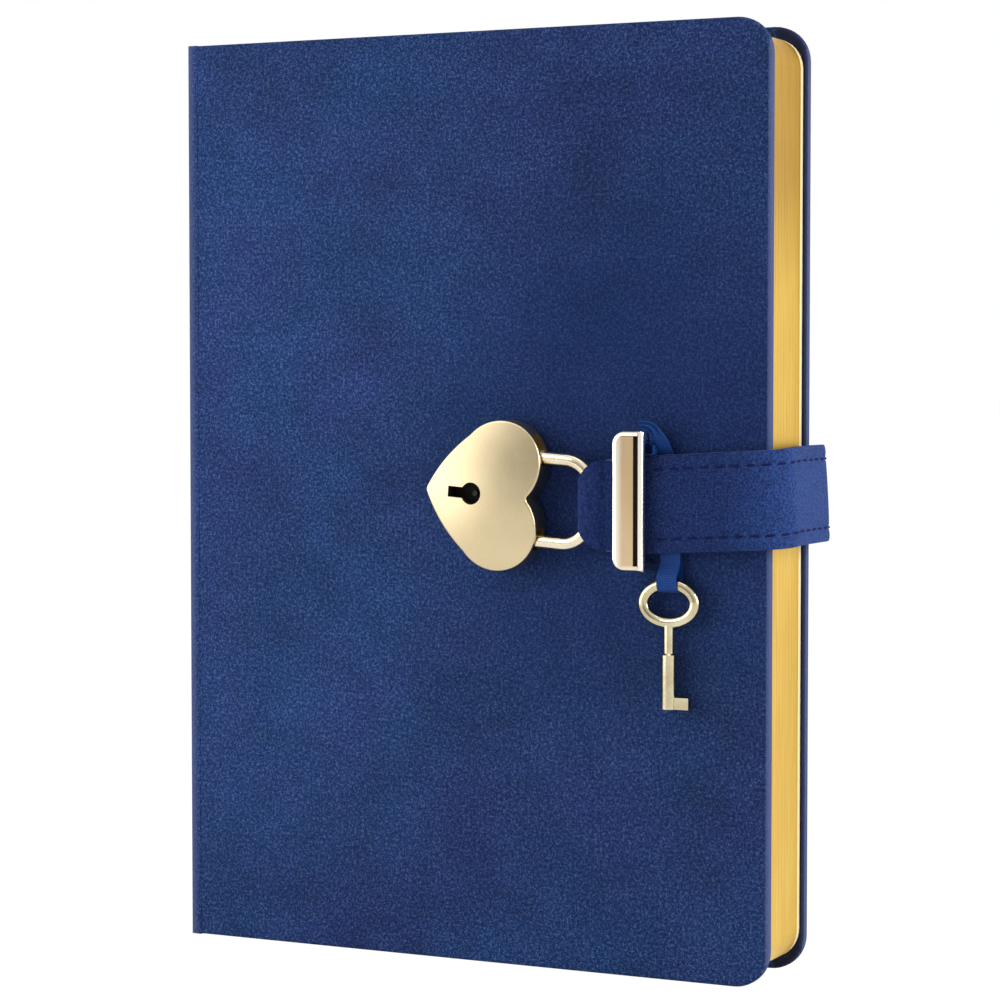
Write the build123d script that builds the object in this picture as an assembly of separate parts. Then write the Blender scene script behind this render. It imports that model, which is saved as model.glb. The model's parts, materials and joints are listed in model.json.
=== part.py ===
"""Case-bound lock diary: boards under suede leather, ten sewn sections with end leaves, a strap round the
fore-edge, and a heart padlock on a leather loop under a metal keeper, with its key on a ribbon.

The book stands on its tail. While modelling, X runs from the spine's outer face to the fore-edge, Y from the
front cover's outer face into the book, and Z up from the tail. Heights above the front cover are called lifts and
run along -Y. The finished pieces are moved so that the origin is at the bottom centre of the whole.
"""
from build123d import *
from math import atan2, cos, degrees, hypot, radians, sin, sqrt
import os

# case
COVER_W = 147.5
COVER_H = 211.0
BOOK_T = 25.2
LEATHER_T = 0.8
BOARD_T = 2.2
CORNER_R = 8.0
EDGE_R = 0.9
TURN_IN_W = 14.0
TURN_IN_T = 0.4
HINGE_U = 3.0
HINGE_SEAM = 0.1
JOINT_W = 1.5
SPINE_R = 1.2
SPINE_BOARD_T = 1.6
LINING_T = 0.5
LINING_MARGIN = 12.0

# leaves
SECTIONS = 10
SQUARE_HEAD = 2.8
SQUARE_FORE = 0.9
PAGE_CORNER_R = 7.0
PAGE_GAP = 0.04
FOLD_R = 0.5
ENDPAPER_T = 0.2
ENDPAPER_GAP = 0.1
ENDPAPER_MARGIN = 4.0
BAND_R = 0.9
BAND_TAIL_L = 6.0
BAND_TAIL_T = 0.4

# closure, strap and loop
CLOSURE_Z = 105.1
STRAP_W = 21.5
STRAP_FACE_T = 1.1
STRAP_LINING_T = 0.9
STRAP_LIFT = 1.0
STRAP_GAP = 2.85
STRAP_FRONT_R = 5.0
STRAP_BACK_R = 2.8
STRAP_TAIL = 45.0
STRAP_END_R = 2.5
STRAP_SLOT_MARGIN = 1.3
SLOT_CLEAR = 0.9
STRAP_TILT = 3.3
LOOP_T = 0.9
LOOP_LIFT = 3.1
LOOP_ROOT_W = 16.0
LOOP_FOLD_W = 11.4
LOOP_W = 20.2
LOOP_TAIL_L = 6.0
LOOP_BEND_R = 0.3
LOOP_REACH = 5.6
LOOP_ROOT_IN = 2.0

# keeper
KEEPER_U = 112.7
KEEPER_Z = 106.2
KEEPER_W = 5.6
KEEPER_L = 31.0
KEEPER_TOP = 6.6
KEEPER_BAR_T = 1.6
KEEPER_LEG_T = 2.2
KEEPER_CORNER_R = 3.0
KEEPER_HOLE_R = 1.2
KEEPER_EDGE_R = 1.4
RAIL_W = 1.3
RAIL_GAP = 0.9
RAIL_DROP = 0.5
PRONG_W = 4.0
PRONG_T = 1.4
WASHER_L = 7.0
WASHER_W = 5.0
WASHER_T = 0.5
FIT = 0.1

# padlock
LOCK_TILT = 4.3
HEART_L = 28.0
LOBE_R = 9.9
LOBE_SPREAD = 7.0
TIP_R = 1.6
CLEFT_R = 1.0
SHELL_BACK = 3.2
SHELL_FRONT = 4.0
DOME_R = 90.0
RIM_R = 0.55
BACK_R = 0.5
SHACKLE_D = 3.0
SHACKLE_HALF = 9.3
SHACKLE_REACH = 11.95
SHACKLE_BEND_R = 6.6
SHACKLE_IN = 6.2
SHACKLE_OPEN = 40.0
SHACKLE_PLAY = 0.2
EYE_R = 2.4
PIN_D = 1.6
PIN_FIT = 0.05
PIN_SEAT = 1.6
KEYHOLE_D = 4.9
KEYHOLE_SLOT_W = 2.4
KEYHOLE_REACH = 5.8
KEYHOLE_FROM_TIP = 12.0
POST_D = 1.3
RIVET_D = 1.6
BOLT_T = 1.8
BOLT_W = 2.2
BOLT_NOSE = 2.2
BOLT_THROW = 1.2
BOLT_GAP = 0.4
TALON_L = 2.9
SPRING_T = 0.3
SPRING_RISE = 1.0
POCKET_WALL = 1.1

# key and ribbon
KEY_U = 125.1
KEY_Z = 83.8
KEY_LIFT = 2.25
BOW_W = 14.6
BOW_H = 11.0
BOW_WIRE = 2.5
NECK_D = 2.3
NECK_L = 5.4
BARREL_D = 3.2
BARREL_L = 12.3
BARREL_BORE = 1.7
BARREL_BORE_L = 6.0
BIT_L = 3.2
BIT_H = 2.6
BIT_T = 1.2
RIBBON_W = 5.1
RIBBON_T = 0.35
RIBBON_CLEAR = 0.5
RIBBON_LIFT = 0.12

# places that follow from the sizes
COVER_T = LEATHER_T + BOARD_T
BOARD_U = HINGE_U + JOINT_W
LEATHER_U = HINGE_U + HINGE_SEAM / 2
SPINE_END_U = HINGE_U - HINGE_SEAM / 2
BLOCK_U = LEATHER_T + SPINE_BOARD_T + LINING_T
PAGE_U = COVER_W - SQUARE_FORE
FLYLEAF_Y = COVER_T + ENDPAPER_T + ENDPAPER_GAP
BLOCK_Y = FLYLEAF_Y + ENDPAPER_T + ENDPAPER_GAP
SECTION_T = (BOOK_T - 2 * BLOCK_Y) / SECTIONS
STRAP_T = STRAP_FACE_T + STRAP_LINING_T
STRAP_U = COVER_W + STRAP_GAP
STRAP_SPLIT_U = STRAP_U - STRAP_BACK_R
KEEPER_RIGHT = KEEPER_U + KEEPER_W + RAIL_GAP + RAIL_W
KEEPER_UNDER = KEEPER_TOP - KEEPER_BAR_T
LOOP_MID = LOOP_LIFT + LOOP_T
EYE_U = KEEPER_U - LOOP_REACH
ROOT_U = KEEPER_U + LOOP_ROOT_IN
ROOT_END_U = ROOT_U + 2 * LOOP_T
STRAP_END_U = ROOT_U - SLOT_CLEAR - STRAP_SLOT_MARGIN
LOOP_HOLE_R = SHACKLE_D / 2 + 0.55
LOOP_EYE_R = LOOP_HOLE_R + LOOP_T
LOBE_RIGHT = EYE_U - SHACKLE_REACH
LOBE_U = LOBE_RIGHT - LOBE_R
TIP_U = LOBE_RIGHT - HEART_L
CLEFT_U = LOBE_U + sqrt(LOBE_R ** 2 - LOBE_SPREAD ** 2)
LOCK_BACK = LOOP_MID - SHELL_BACK
LOCK_FRONT = LOOP_MID + SHELL_FRONT
PIN_U = LOBE_RIGHT - SHACKLE_IN
KEYHOLE_U = TIP_U + KEYHOLE_FROM_TIP
RING_TOP_Z = KEY_Z + BOW_H / 2 - BOW_WIRE / 2
KEEPER_MID = (KEEPER_U + KEEPER_RIGHT) / 2
STRAP_MAX_U = (KEEPER_MID + (STRAP_U + STRAP_T - KEEPER_MID) * cos(radians(STRAP_TILT))
               + STRAP_W / 2 * sin(radians(STRAP_TILT)))
ORIGIN_U = STRAP_MAX_U / 2
ORIGIN_Y = (BOOK_T + STRAP_T - LOCK_FRONT) / 2


def slab(x0, x1, y0, y1, z0, z1):
    """Box between two corners."""
    return Pos((x0 + x1) / 2, (y0 + y1) / 2, (z0 + z1) / 2) * Box(x1 - x0, y1 - y0, z1 - z0)


def sheet(x0, x1, z0, z1, radius):
    """Upright rectangle seen from the front, with its two fore-edge corners rounded."""
    flat = Pos((x0 + x1) / 2, (z0 + z1) / 2) * Rectangle(x1 - x0, z1 - z0)
    return fillet(flat.vertices().sort_by(Axis.X)[-2:], radius) if radius > 0 else flat


def deep(flat, y0, y1):
    """Extrude a shape drawn from the front between two depths into the book."""
    return extrude(Plane.XZ.offset(-y0) * flat, -(y1 - y0))


def lifted(flat, q0, q1):
    """Extrude a shape drawn from the front between two lifts above the cover."""
    return extrude(Plane.XZ.offset(q0) * flat, q1 - q0)


def rise(flat, z0, z1):
    """Extrude a plan shape drawn in X and Y between two heights."""
    return extrude(Plane.XY.offset(z0) * flat, z1 - z0)


def across(flat, x0, x1):
    """Extrude a shape drawn in Y and Z along X."""
    return extrude(Plane.YZ.offset(x0) * flat, x1 - x0)


def polygon(*points):
    """Closed flat shape through the points."""
    return make_face(Polyline(*points, close=True))


def to_back(part):
    """The same piece on the back of the book."""
    return mirror(part, about=Plane.XZ.offset(-BOOK_T / 2))


def tilted(part):
    """Turn a padlock piece with the shackle's bow, as the lock lies on the cover."""
    about = Axis((EYE_U, 0, CLOSURE_Z), (0, 1, 0))
    return part.rotate(about, LOCK_TILT)


def strapped(part):
    """Turn a strap piece about the keeper, as the strap rises a little towards the fore-edge."""
    return part.rotate(Axis((KEEPER_MID, 0, CLOSURE_Z), (0, 1, 0)), -STRAP_TILT)


def cover():
    """Leather and board of one cover, on the front side, before its cuts."""
    body = deep(sheet(BOARD_U, COVER_W, 0, COVER_H, CORNER_R), 0, COVER_T)
    body += slab(LEATHER_U, BOARD_U + 1, 0, LEATHER_T, 0, COVER_H)
    soft = [e for e in body.edges() if abs(e.center().Y) < 1e-6 and e.center().X > LEATHER_U + 0.01]
    soft += [e for e in body.edges() if abs(e.center().Y - COVER_T) < 1e-6 and e.center().X > BOARD_U + 0.01]
    body = fillet(soft, EDGE_R)
    inner = LEATHER_T
    core = deep(sheet(BOARD_U, COVER_W - inner, inner, COVER_H - inner, CORNER_R - inner), LEATHER_T, COVER_T - TURN_IN_T)
    core += deep(sheet(BOARD_U, COVER_W - TURN_IN_W, TURN_IN_W, COVER_H - TURN_IN_W, 0), COVER_T - TURN_IN_T, COVER_T)
    return body - core, core


def closure_cuts():
    """What the loop, the keeper's prongs and their washers cut through the front cover."""
    half = LOOP_ROOT_W / 2 + FIT
    cuts = slab(ROOT_U - FIT, ROOT_END_U + FIT, -1, COVER_T, CLOSURE_Z - half, CLOSURE_Z + half)
    tails = slab(ROOT_U - LOOP_TAIL_L - FIT, ROOT_END_U + LOOP_TAIL_L + FIT, COVER_T - LOOP_T - FIT, COVER_T + 1,
                 CLOSURE_Z - half, CLOSURE_Z + half)
    cuts += tails
    for side in (-1, 1):
        z = KEEPER_Z + side * (KEEPER_L - KEEPER_LEG_T) / 2
        cuts += Pos(KEEPER_MID, COVER_T / 2, z) * Box(PRONG_W + 2 * FIT, COVER_T + 2, PRONG_T + 2 * FIT)
        cuts += Pos(KEEPER_MID, COVER_T, z) * Box(WASHER_L + 2 * FIT, 2 * WASHER_T, WASHER_W + 2 * FIT)
    return cuts


def spine():
    """Leather round the spine board, turned over its two ends, and the board."""
    flat = Pos(SPINE_END_U / 2, BOOK_T / 2) * Rectangle(SPINE_END_U, BOOK_T)
    flat = fillet(flat.vertices().sort_by(Axis.X)[:2], SPINE_R)
    flat -= Pos(LEATHER_T + 50, BOOK_T / 2) * Rectangle(100, BOOK_T - 2 * LEATHER_T)
    leather = rise(flat, 0, COVER_H)
    ends = (0, LEATHER_T), (COVER_H - LEATHER_T, COVER_H)
    for z0, z1 in ends:
        leather += slab(LEATHER_T, LEATHER_T + SPINE_BOARD_T, LEATHER_T, BOOK_T - LEATHER_T, z0, z1)
    board = slab(LEATHER_T, LEATHER_T + SPINE_BOARD_T, LEATHER_T, BOOK_T - LEATHER_T, LEATHER_T, COVER_H - LEATHER_T)
    return leather, board


def leaf(y0, y1):
    """Leaves of the page size between two depths."""
    return deep(sheet(BLOCK_U, PAGE_U, SQUARE_HEAD, COVER_H - SQUARE_HEAD, PAGE_CORNER_R), y0, y1)


def section(n):
    """Sewn section of leaves, with its folds rounded at the spine."""
    y0 = BLOCK_Y + n * SECTION_T
    body = leaf(y0, y0 + SECTION_T - PAGE_GAP)
    folds = [e for e in body.edges() if abs(e.center().X - BLOCK_U) < 1e-6 and e.length > COVER_H / 2]
    return fillet(folds, FOLD_R)


def pastedown():
    """End paper glued inside a cover, over the turned-in leather."""
    m = ENDPAPER_MARGIN
    return deep(sheet(BOARD_U, COVER_W - m, m, COVER_H - m, CORNER_R - m / 2), COVER_T, COVER_T + ENDPAPER_T)


def band(z, up):
    """Bead of the head or tail band on the section ends, with its cloth tail on the spine."""
    y0, y1 = BLOCK_Y, BOOK_T - BLOCK_Y
    bead = Pos(BLOCK_U, (y0 + y1) / 2, z + up * BAND_R) * Rot(90, 0, 0) * Cylinder(BAND_R, y1 - y0)
    tail = slab(BLOCK_U - BAND_TAIL_T, BLOCK_U, y0, y1, *sorted((z - up * BAND_TAIL_L, z + up * BAND_R)))
    bead -= slab(BLOCK_U - 2 * BAND_R, BLOCK_U - BAND_TAIL_T, y0 - 1, y1 + 1, z - 3 * BAND_R, z + 3 * BAND_R)
    return bead + tail


def strap_layer(inside, outside):
    """One layer of the strap in plan, from its slotted end round the fore-edge, and its tail on the back cover."""
    fx, fy = STRAP_U - STRAP_FRONT_R, STRAP_FRONT_R - STRAP_LIFT
    bx, by = STRAP_SPLIT_U, BOOK_T - STRAP_BACK_R

    def half(radius):
        turn = sqrt(0.5)
        return [
            Line((STRAP_END_U, fy - STRAP_FRONT_R - radius), (fx, fy - STRAP_FRONT_R - radius)),
            ThreePointArc((fx, fy - STRAP_FRONT_R - radius),
                          (fx + (STRAP_FRONT_R + radius) * turn, fy - (STRAP_FRONT_R + radius) * turn),
                          (fx + STRAP_FRONT_R + radius, fy)),
            Line((STRAP_U + radius, fy), (STRAP_U + radius, by)),
            ThreePointArc((STRAP_U + radius, by),
                          (bx + (STRAP_BACK_R + radius) * turn, by + (STRAP_BACK_R + radius) * turn),
                          (bx, by + STRAP_BACK_R + radius)),
        ]

    near, far = half(inside), half(outside)
    ends = [Line(near[0] @ 0, far[0] @ 0), Line(near[-1] @ 1, far[-1] @ 1)]
    flat = make_face(Wire([*near, *far, *ends]))
    low, high = CLOSURE_Z - STRAP_W / 2, CLOSURE_Z + STRAP_W / 2
    band_part = rise(flat, low, high)
    half_slot = LOOP_ROOT_W / 2 + SLOT_CLEAR
    slot_left = STRAP_END_U + STRAP_SLOT_MARGIN
    band_part -= slab(slot_left, ROOT_END_U + SLOT_CLEAR, -KEEPER_TOP, 0, CLOSURE_Z - half_slot, CLOSURE_Z + half_slot)
    ends_up = [e for e in band_part.edges() if abs(e.center().X - STRAP_END_U) < 1e-6 and e.length < 1.5]
    band_part = fillet([e for e in ends_up if abs(e.tangent_at(0).Y) > 0.9], STRAP_END_R)
    tail = slab(COVER_W - STRAP_TAIL, STRAP_SPLIT_U, BOOK_T + inside, BOOK_T + outside, low, high)
    tip = [e for e in tail.edges() if abs(e.center().X - COVER_W + STRAP_TAIL) < 1e-6 and abs(e.tangent_at(0).Y) > 0.9]
    return band_part, fillet(tip, STRAP_END_R)


def keeper():
    """Bridge over the strap's end: crown bar, thin rail beside it, two legs and a prong under each leg."""
    flat = Pos(KEEPER_MID, KEEPER_Z) * Rectangle(KEEPER_RIGHT - KEEPER_U, KEEPER_L)
    ends = flat.vertices().sort_by(Axis.X)
    flat = fillet(ends[:2], KEEPER_CORNER_R)
    flat = fillet(flat.vertices().sort_by(Axis.X)[-2:], RAIL_W / 2)
    body = lifted(flat, 0, KEEPER_TOP)
    body = fillet([e for e in body.edges() if abs(e.center().Y + KEEPER_TOP) < 1e-6], KEEPER_EDGE_R)
    hole = Pos(-KEEPER_UNDER / 2, KEEPER_Z) * Rectangle(KEEPER_UNDER, KEEPER_L - 2 * KEEPER_LEG_T)
    hole = fillet(hole.vertices().sort_by(Axis.X)[:2], KEEPER_HOLE_R)
    body -= across(hole, KEEPER_U - 1, KEEPER_RIGHT + 1)
    crown_end = KEEPER_U + KEEPER_W
    inner = KEEPER_L / 2 - RAIL_W
    groove = slab(crown_end, crown_end + RAIL_GAP, -KEEPER_TOP - 1, -KEEPER_UNDER - KEEPER_BAR_T * 0.3,
                  KEEPER_Z - inner, KEEPER_Z + inner)
    body -= groove
    body -= slab(crown_end + RAIL_GAP, KEEPER_RIGHT + 1, -KEEPER_TOP - 1, -KEEPER_TOP + RAIL_DROP,
                 KEEPER_Z - KEEPER_L, KEEPER_Z + KEEPER_L)
    for side in (-1, 1):
        z = KEEPER_Z + side * (KEEPER_L - KEEPER_LEG_T) / 2
        body += Pos(KEEPER_MID, COVER_T / 2, z) * Box(PRONG_W, COVER_T, PRONG_T)
    return body


def washers():
    """Plates behind the board that the keeper's prongs are peened on."""
    plates = []
    for side in (-1, 1):
        z = KEEPER_Z + side * (KEEPER_L - KEEPER_LEG_T) / 2
        plate = Pos(KEEPER_MID, COVER_T - WASHER_T / 2, z) * Box(WASHER_L, WASHER_T, WASHER_W)
        plates.append(plate - Pos(KEEPER_MID, COVER_T, z) * Box(PRONG_W, 2 * COVER_T, PRONG_T))
    return Compound(plates)


def shackle_path():
    """Centre line of the shackle, from its toe to its hinged heel, drawn from the front."""
    r, h = SHACKLE_BEND_R, SHACKLE_HALF
    turn = r * (1 - sqrt(0.5))
    bend_u, z = EYE_U - r, CLOSURE_Z
    return Wire([
        Line((LOBE_RIGHT - SHACKLE_IN, z - h), (bend_u, z - h)),
        ThreePointArc((bend_u, z - h), (EYE_U - turn, z - h + turn), (EYE_U, z - h + r)),
        Line((EYE_U, z - h + r), (EYE_U, z + h - r)),
        ThreePointArc((EYE_U, z + h - r), (EYE_U - turn, z + h - turn), (bend_u, z + h)),
        Line((bend_u, z + h), (PIN_U, z + h)),
    ])


def wire_along(diameter):
    """Round wire along the shackle's centre line."""
    path = Plane.XZ.offset(LOOP_MID) * shackle_path()
    start = Plane(path @ 0, z_dir=path % 0)
    return sweep(start * Circle(diameter / 2), path=path)


def shackle():
    """Bent wire with a flat hinge eye at its heel and the bolt's notch near its toe."""
    body = wire_along(SHACKLE_D)
    heel = CLOSURE_Z + SHACKLE_HALF
    half = SHACKLE_D / 2
    body += lifted(Pos(PIN_U, heel) * Circle(EYE_R), LOOP_MID - half, LOOP_MID + half)
    body -= lifted(Pos(PIN_U, heel) * Circle(PIN_D / 2 + PIN_FIT), LOOP_MID - 5, LOOP_MID + 5)
    toe_top = CLOSURE_Z - SHACKLE_HALF + half
    notch = BOLT_THROW - BOLT_GAP + FIT
    u0 = bolt_nose_u() - FIT * 3
    body -= slab(u0, u0 + BOLT_NOSE + 6 * FIT, -LOOP_MID - 5, -LOOP_MID + 5, toe_top - notch, toe_top + 1)
    return body


def bolt_nose_u():
    """Spine-side face of the bolt's nose."""
    return LOBE_RIGHT - SHACKLE_IN + 1.3


def heart():
    """Outline of the padlock, lobes towards the fore-edge and tip towards the spine."""
    z = CLOSURE_Z
    side = atan2(LOBE_SPREAD, LOBE_U - TIP_U)
    reach = hypot(LOBE_SPREAD, LOBE_U - TIP_U)
    spread = side + atan2(LOBE_R, sqrt(reach ** 2 - LOBE_R ** 2))
    run = sqrt(reach ** 2 - LOBE_R ** 2)
    tx, tz = TIP_U + run * cos(spread), run * sin(spread)
    bulge = 0.9
    mx, mz = (TIP_U + tx) / 2 - bulge * sin(spread), tz / 2 + bulge * cos(spread)
    across_lobe = radians(60)
    px, pz = LOBE_U + LOBE_R * cos(across_lobe), LOBE_SPREAD + LOBE_R * sin(across_lobe)
    edges = []
    for s in (1, -1):
        edges.append(ThreePointArc((TIP_U, z), (mx, z + s * mz), (tx, z + s * tz)))
        edges.append(ThreePointArc((tx, z + s * tz), (px, z + s * pz), (CLEFT_U, z)))
    flat = make_face(Wire(edges))
    ends = flat.vertices().sort_by(Axis.X)
    tip = [v for v in ends if abs(v.X - TIP_U) < 1e-6]
    flat = fillet(tip, TIP_R)
    cleft = [v for v in flat.vertices() if abs(v.X - CLEFT_U) < 1e-6 and abs(v.Y - z) < 1e-6]
    return fillet(cleft, CLEFT_R)


def lock_room():
    """Space inside the padlock for the bolt, the key and the shackle's swing."""
    z, half = CLOSURE_Z, SHACKLE_D / 2 + SHACKLE_PLAY
    heel, reach = z + SHACKLE_HALF, 3 * SHACKLE_IN
    swing = [(PIN_U, heel)]
    for n in range(9):
        a = radians(SHACKLE_OPEN * n / 8)
        swing.append((PIN_U + reach * cos(a), heel + reach * sin(a)))
    flat = polygon(*swing) + Pos(PIN_U, heel) * Circle(EYE_R + SHACKLE_PLAY)
    for a in (0, SHACKLE_OPEN):
        flat += Pos(PIN_U, heel) * Rot(0, 0, a) * Pos(reach / 2, 0) * Rectangle(reach, 2 * half)
    drop = 2 * SHACKLE_HALF
    near, far = drop - half, hypot(drop, SHACKLE_IN) + half
    ring = Pos(PIN_U, heel) * (Circle(far) - Circle(near))
    fan = [(PIN_U, heel)]
    for n in range(9):
        a = radians(-92 + 46 * n / 8)
        fan.append((PIN_U + 2 * far * cos(a), heel + 2 * far * sin(a)))
    flat += ring & polygon(*fan)
    channels = lifted(flat, LOOP_MID - half, LOOP_MID + half)
    toe_top = z - SHACKLE_HALF + SHACKLE_D / 2
    floor, roof = toe_top - BOLT_THROW + BOLT_GAP - FIT * 3, toe_top + BOLT_GAP + BOLT_NOSE * 0.4 + BOLT_W + SPRING_RISE + 0.6
    nose = bolt_nose_u() + BOLT_NOSE + FIT * 3
    talon = KEYHOLE_U + BARREL_D / 2 + 0.8
    q0, q1 = LOOP_MID - BOLT_T / 2 - FIT, LOOP_MID + BOLT_T / 2 + FIT
    room = slab(talon - FIT * 3, nose, -q1, -q0, floor, roof)
    around = KEYHOLE_REACH + 0.6
    room += lifted(Pos(KEYHOLE_U, z) * Circle(around), q0, q1)
    room += slab(talon - FIT * 3, talon + BOLT_NOSE + FIT * 6, -q1, -q0, floor, z)
    return channels + room


def rivet_places():
    """Where the case rivets hold the two shells together."""
    return [(TIP_U + 2.2 * RIVET_D, CLOSURE_Z), (LOBE_U - 3.0, CLOSURE_Z + LOBE_SPREAD + 4.0), (LOBE_U - 3.0, CLOSURE_Z - LOBE_SPREAD - 4.0)]


def round_pins(diameter, q0, q1, places):
    """Separate round pins along the lift."""
    return [lifted(Pos(*p) * Circle(diameter / 2), q0, q1) for p in places]


def lock_shells():
    """Domed front shell and flat back shell of the padlock, parted at the shackle's middle."""
    flat, room = heart(), lock_room()
    front = lifted(flat, LOOP_MID, LOCK_FRONT + 1)
    dome = Pos(LOBE_U - 4, -(LOCK_FRONT - DOME_R), CLOSURE_Z) * Sphere(DOME_R)
    front = front & dome
    rim = [e for e in front.edges() if e.center().Y < -LOOP_MID - 0.5 and e.length > 1 and abs(e.tangent_at(0.5).Y) < 0.5]
    front = fillet(rim, RIM_R)
    back = lifted(flat, LOCK_BACK, LOOP_MID)
    back = fillet([e for e in back.edges() if abs(e.center().Y + LOCK_BACK) < 1e-6], BACK_R)
    heel = [(PIN_U, CLOSURE_Z + SHACKLE_HALF)]
    post = [(KEYHOLE_U, CLOSURE_Z)]
    q0, q1 = LOCK_BACK + 1, LOOP_MID + PIN_SEAT + SHACKLE_D / 2
    holes = round_pins(PIN_D, LOOP_MID - SHACKLE_D / 2 - PIN_SEAT + 0.4, q1, heel) + round_pins(RIVET_D, q0, q1 - 0.6, rivet_places())
    front, back = front - room, back - room
    for hole in holes:
        front, back = front - hole, back - hole
    back -= round_pins(POST_D, q0, LOOP_MID, post)[0]
    keyhole = Pos(KEYHOLE_U, CLOSURE_Z) * Circle(KEYHOLE_D / 2)
    keyhole += Pos(KEYHOLE_U - KEYHOLE_REACH / 2, CLOSURE_Z) * Rectangle(KEYHOLE_REACH, KEYHOLE_SLOT_W)
    front -= lifted(keyhole, LOOP_MID - 0.1, LOCK_FRONT + 1)
    pin = lifted(Pos(*heel[0]) * Circle(PIN_D / 2), LOOP_MID - SHACKLE_D / 2 - PIN_SEAT + 0.4, q1)
    rivets = Compound(round_pins(RIVET_D, q0, q1 - 0.6, rivet_places()))
    key_post = lifted(Pos(*post[0]) * Circle(POST_D / 2), q0, LOCK_FRONT - 2.2)
    return front, back, pin, rivets, key_post


def bolt_and_spring():
    """Bolt drawn back from the shackle's notch, and the bowed leaf that bears on it."""
    toe_top = CLOSURE_Z - SHACKLE_HALF + SHACKLE_D / 2
    nose_z = toe_top + BOLT_GAP
    bar_z = nose_z + BOLT_NOSE * 0.4
    u1 = bolt_nose_u() + BOLT_NOSE
    u0 = KEYHOLE_U + BARREL_D / 2 + 0.8
    y0, y1 = -LOOP_MID - BOLT_T / 2, -LOOP_MID + BOLT_T / 2
    bolt = slab(u0, u1, y0, y1, bar_z, bar_z + BOLT_W)
    bolt += slab(bolt_nose_u(), u1, y0, y1, nose_z, bar_z + BOLT_W)
    bolt += slab(u0, u0 + BOLT_NOSE, y0, y1, bar_z, bar_z + BOLT_W + TALON_L)
    top = bar_z + BOLT_W + FIT
    a, b = u0 + BOLT_NOSE + 1.0, u1 - 1.0
    mid = (a + b) / 2
    leaf_face = make_face(Wire([
        ThreePointArc((a, top), (mid, top + SPRING_RISE), (b, top)),
        Line((b, top), (b, top + SPRING_T)),
        ThreePointArc((b, top + SPRING_T), (mid, top + SPRING_RISE + SPRING_T), (a, top + SPRING_T)),
        Line((a, top + SPRING_T), (a, top)),
    ]))
    return bolt, lifted(leaf_face, LOOP_MID - BOLT_T / 2, LOOP_MID + BOLT_T / 2)


def loop():
    """Leather loop: fold round the shackle, doubled run under the keeper, root through the strap and cover, two tails."""
    y, t = -LOOP_MID, LOOP_T
    join = KEEPER_U - 0.3
    flat = Pos(EYE_U, y) * Circle(LOOP_EYE_R)
    flat += polygon((EYE_U, y - LOOP_EYE_R), (join, y - t), (join, y + t), (EYE_U, y + LOOP_EYE_R))
    bend_u, bend_y = ROOT_U - LOOP_BEND_R, y + t + LOOP_BEND_R
    flat += Pos((join - 1 + bend_u) / 2, y) * Rectangle(bend_u - join + 1, 2 * t)
    turn = (Circle(2 * t + LOOP_BEND_R) - Circle(LOOP_BEND_R)) & (Pos(10, -10) * Rectangle(20, 20))
    flat += Pos(bend_u, bend_y) * turn
    flat -= Pos(EYE_U, y) * Circle(LOOP_HOLE_R)
    flat -= polygon((EYE_U, y - LOOP_HOLE_R), (join - 0.8, y), (EYE_U, y + LOOP_HOLE_R))
    tail_y = COVER_T - LOOP_T
    flat += Pos((ROOT_U + ROOT_END_U) / 2, (bend_y + COVER_T) / 2) * Rectangle(2 * t, COVER_T - bend_y)
    flat += Pos((ROOT_U + ROOT_END_U) / 2, (tail_y + COVER_T) / 2) * Rectangle(2 * t + 2 * LOOP_TAIL_L, LOOP_T)
    body = rise(flat, CLOSURE_Z - LOOP_W, CLOSURE_Z + LOOP_W)
    fold, wide, root = LOOP_FOLD_W / 2, LOOP_W / 2, LOOP_ROOT_W / 2
    left, z = EYE_U - LOOP_EYE_R - 1, CLOSURE_Z
    half = [(left, fold), (left + 1.2, fold), (EYE_U + 0.4, wide - 1.0), (KEEPER_U, wide), (bend_u - 1.0, wide),
            (bend_u - 0.2, root), (ROOT_END_U + LOOP_TAIL_L + 1, root)]
    plan = polygon(*[(u, z + w) for u, w in half], *[(u, z - w) for u, w in reversed(half)])
    above = body & lifted(plan, 0, KEEPER_TOP + 5)
    below = body & slab(ROOT_U - 2 * LOOP_TAIL_L, ROOT_END_U + 2 * LOOP_TAIL_L, 0, COVER_T, z - root, z + root)
    return above + below - tilted(wire_along(SHACKLE_D + 0.5))


def key():
    """Barrel key: oval bow of round wire, neck, barrel with its bore, and a bit towards the fore-edge."""
    a, b = (BOW_W - BOW_WIRE) / 2, (BOW_H - BOW_WIRE) / 2
    path = Plane.XZ.offset(KEY_LIFT) * (Pos(KEY_U, KEY_Z) * Ellipse(a, b)).wire()
    start = Plane(path @ 0, z_dir=path % 0)
    bow = sweep(start * Circle(BOW_WIRE / 2), path=path)
    neck_top = KEY_Z - BOW_H / 2 + BOW_WIRE * 0.4
    neck_end = KEY_Z - BOW_H / 2 - NECK_L
    tip = neck_end - BARREL_L

    def rod(diameter, z0, z1):
        return Pos(KEY_U, -KEY_LIFT, (z0 + z1) / 2) * Cylinder(diameter / 2, z1 - z0)

    body = bow + rod(NECK_D, neck_end - 0.5, neck_top) + rod(BARREL_D, tip, neck_end)
    rims = [e for e in body.edges() if abs(e.center().Z - neck_end) < 1e-6 and e.length > BARREL_D * 3]
    body = chamfer(rims, 0.4)
    body += slab(KEY_U, KEY_U + BARREL_D / 2 + BIT_L, -KEY_LIFT - BIT_T / 2, -KEY_LIFT + BIT_T / 2, tip, tip + BIT_H)
    return body - rod(BARREL_BORE, tip, tip + BARREL_BORE_L)


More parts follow.
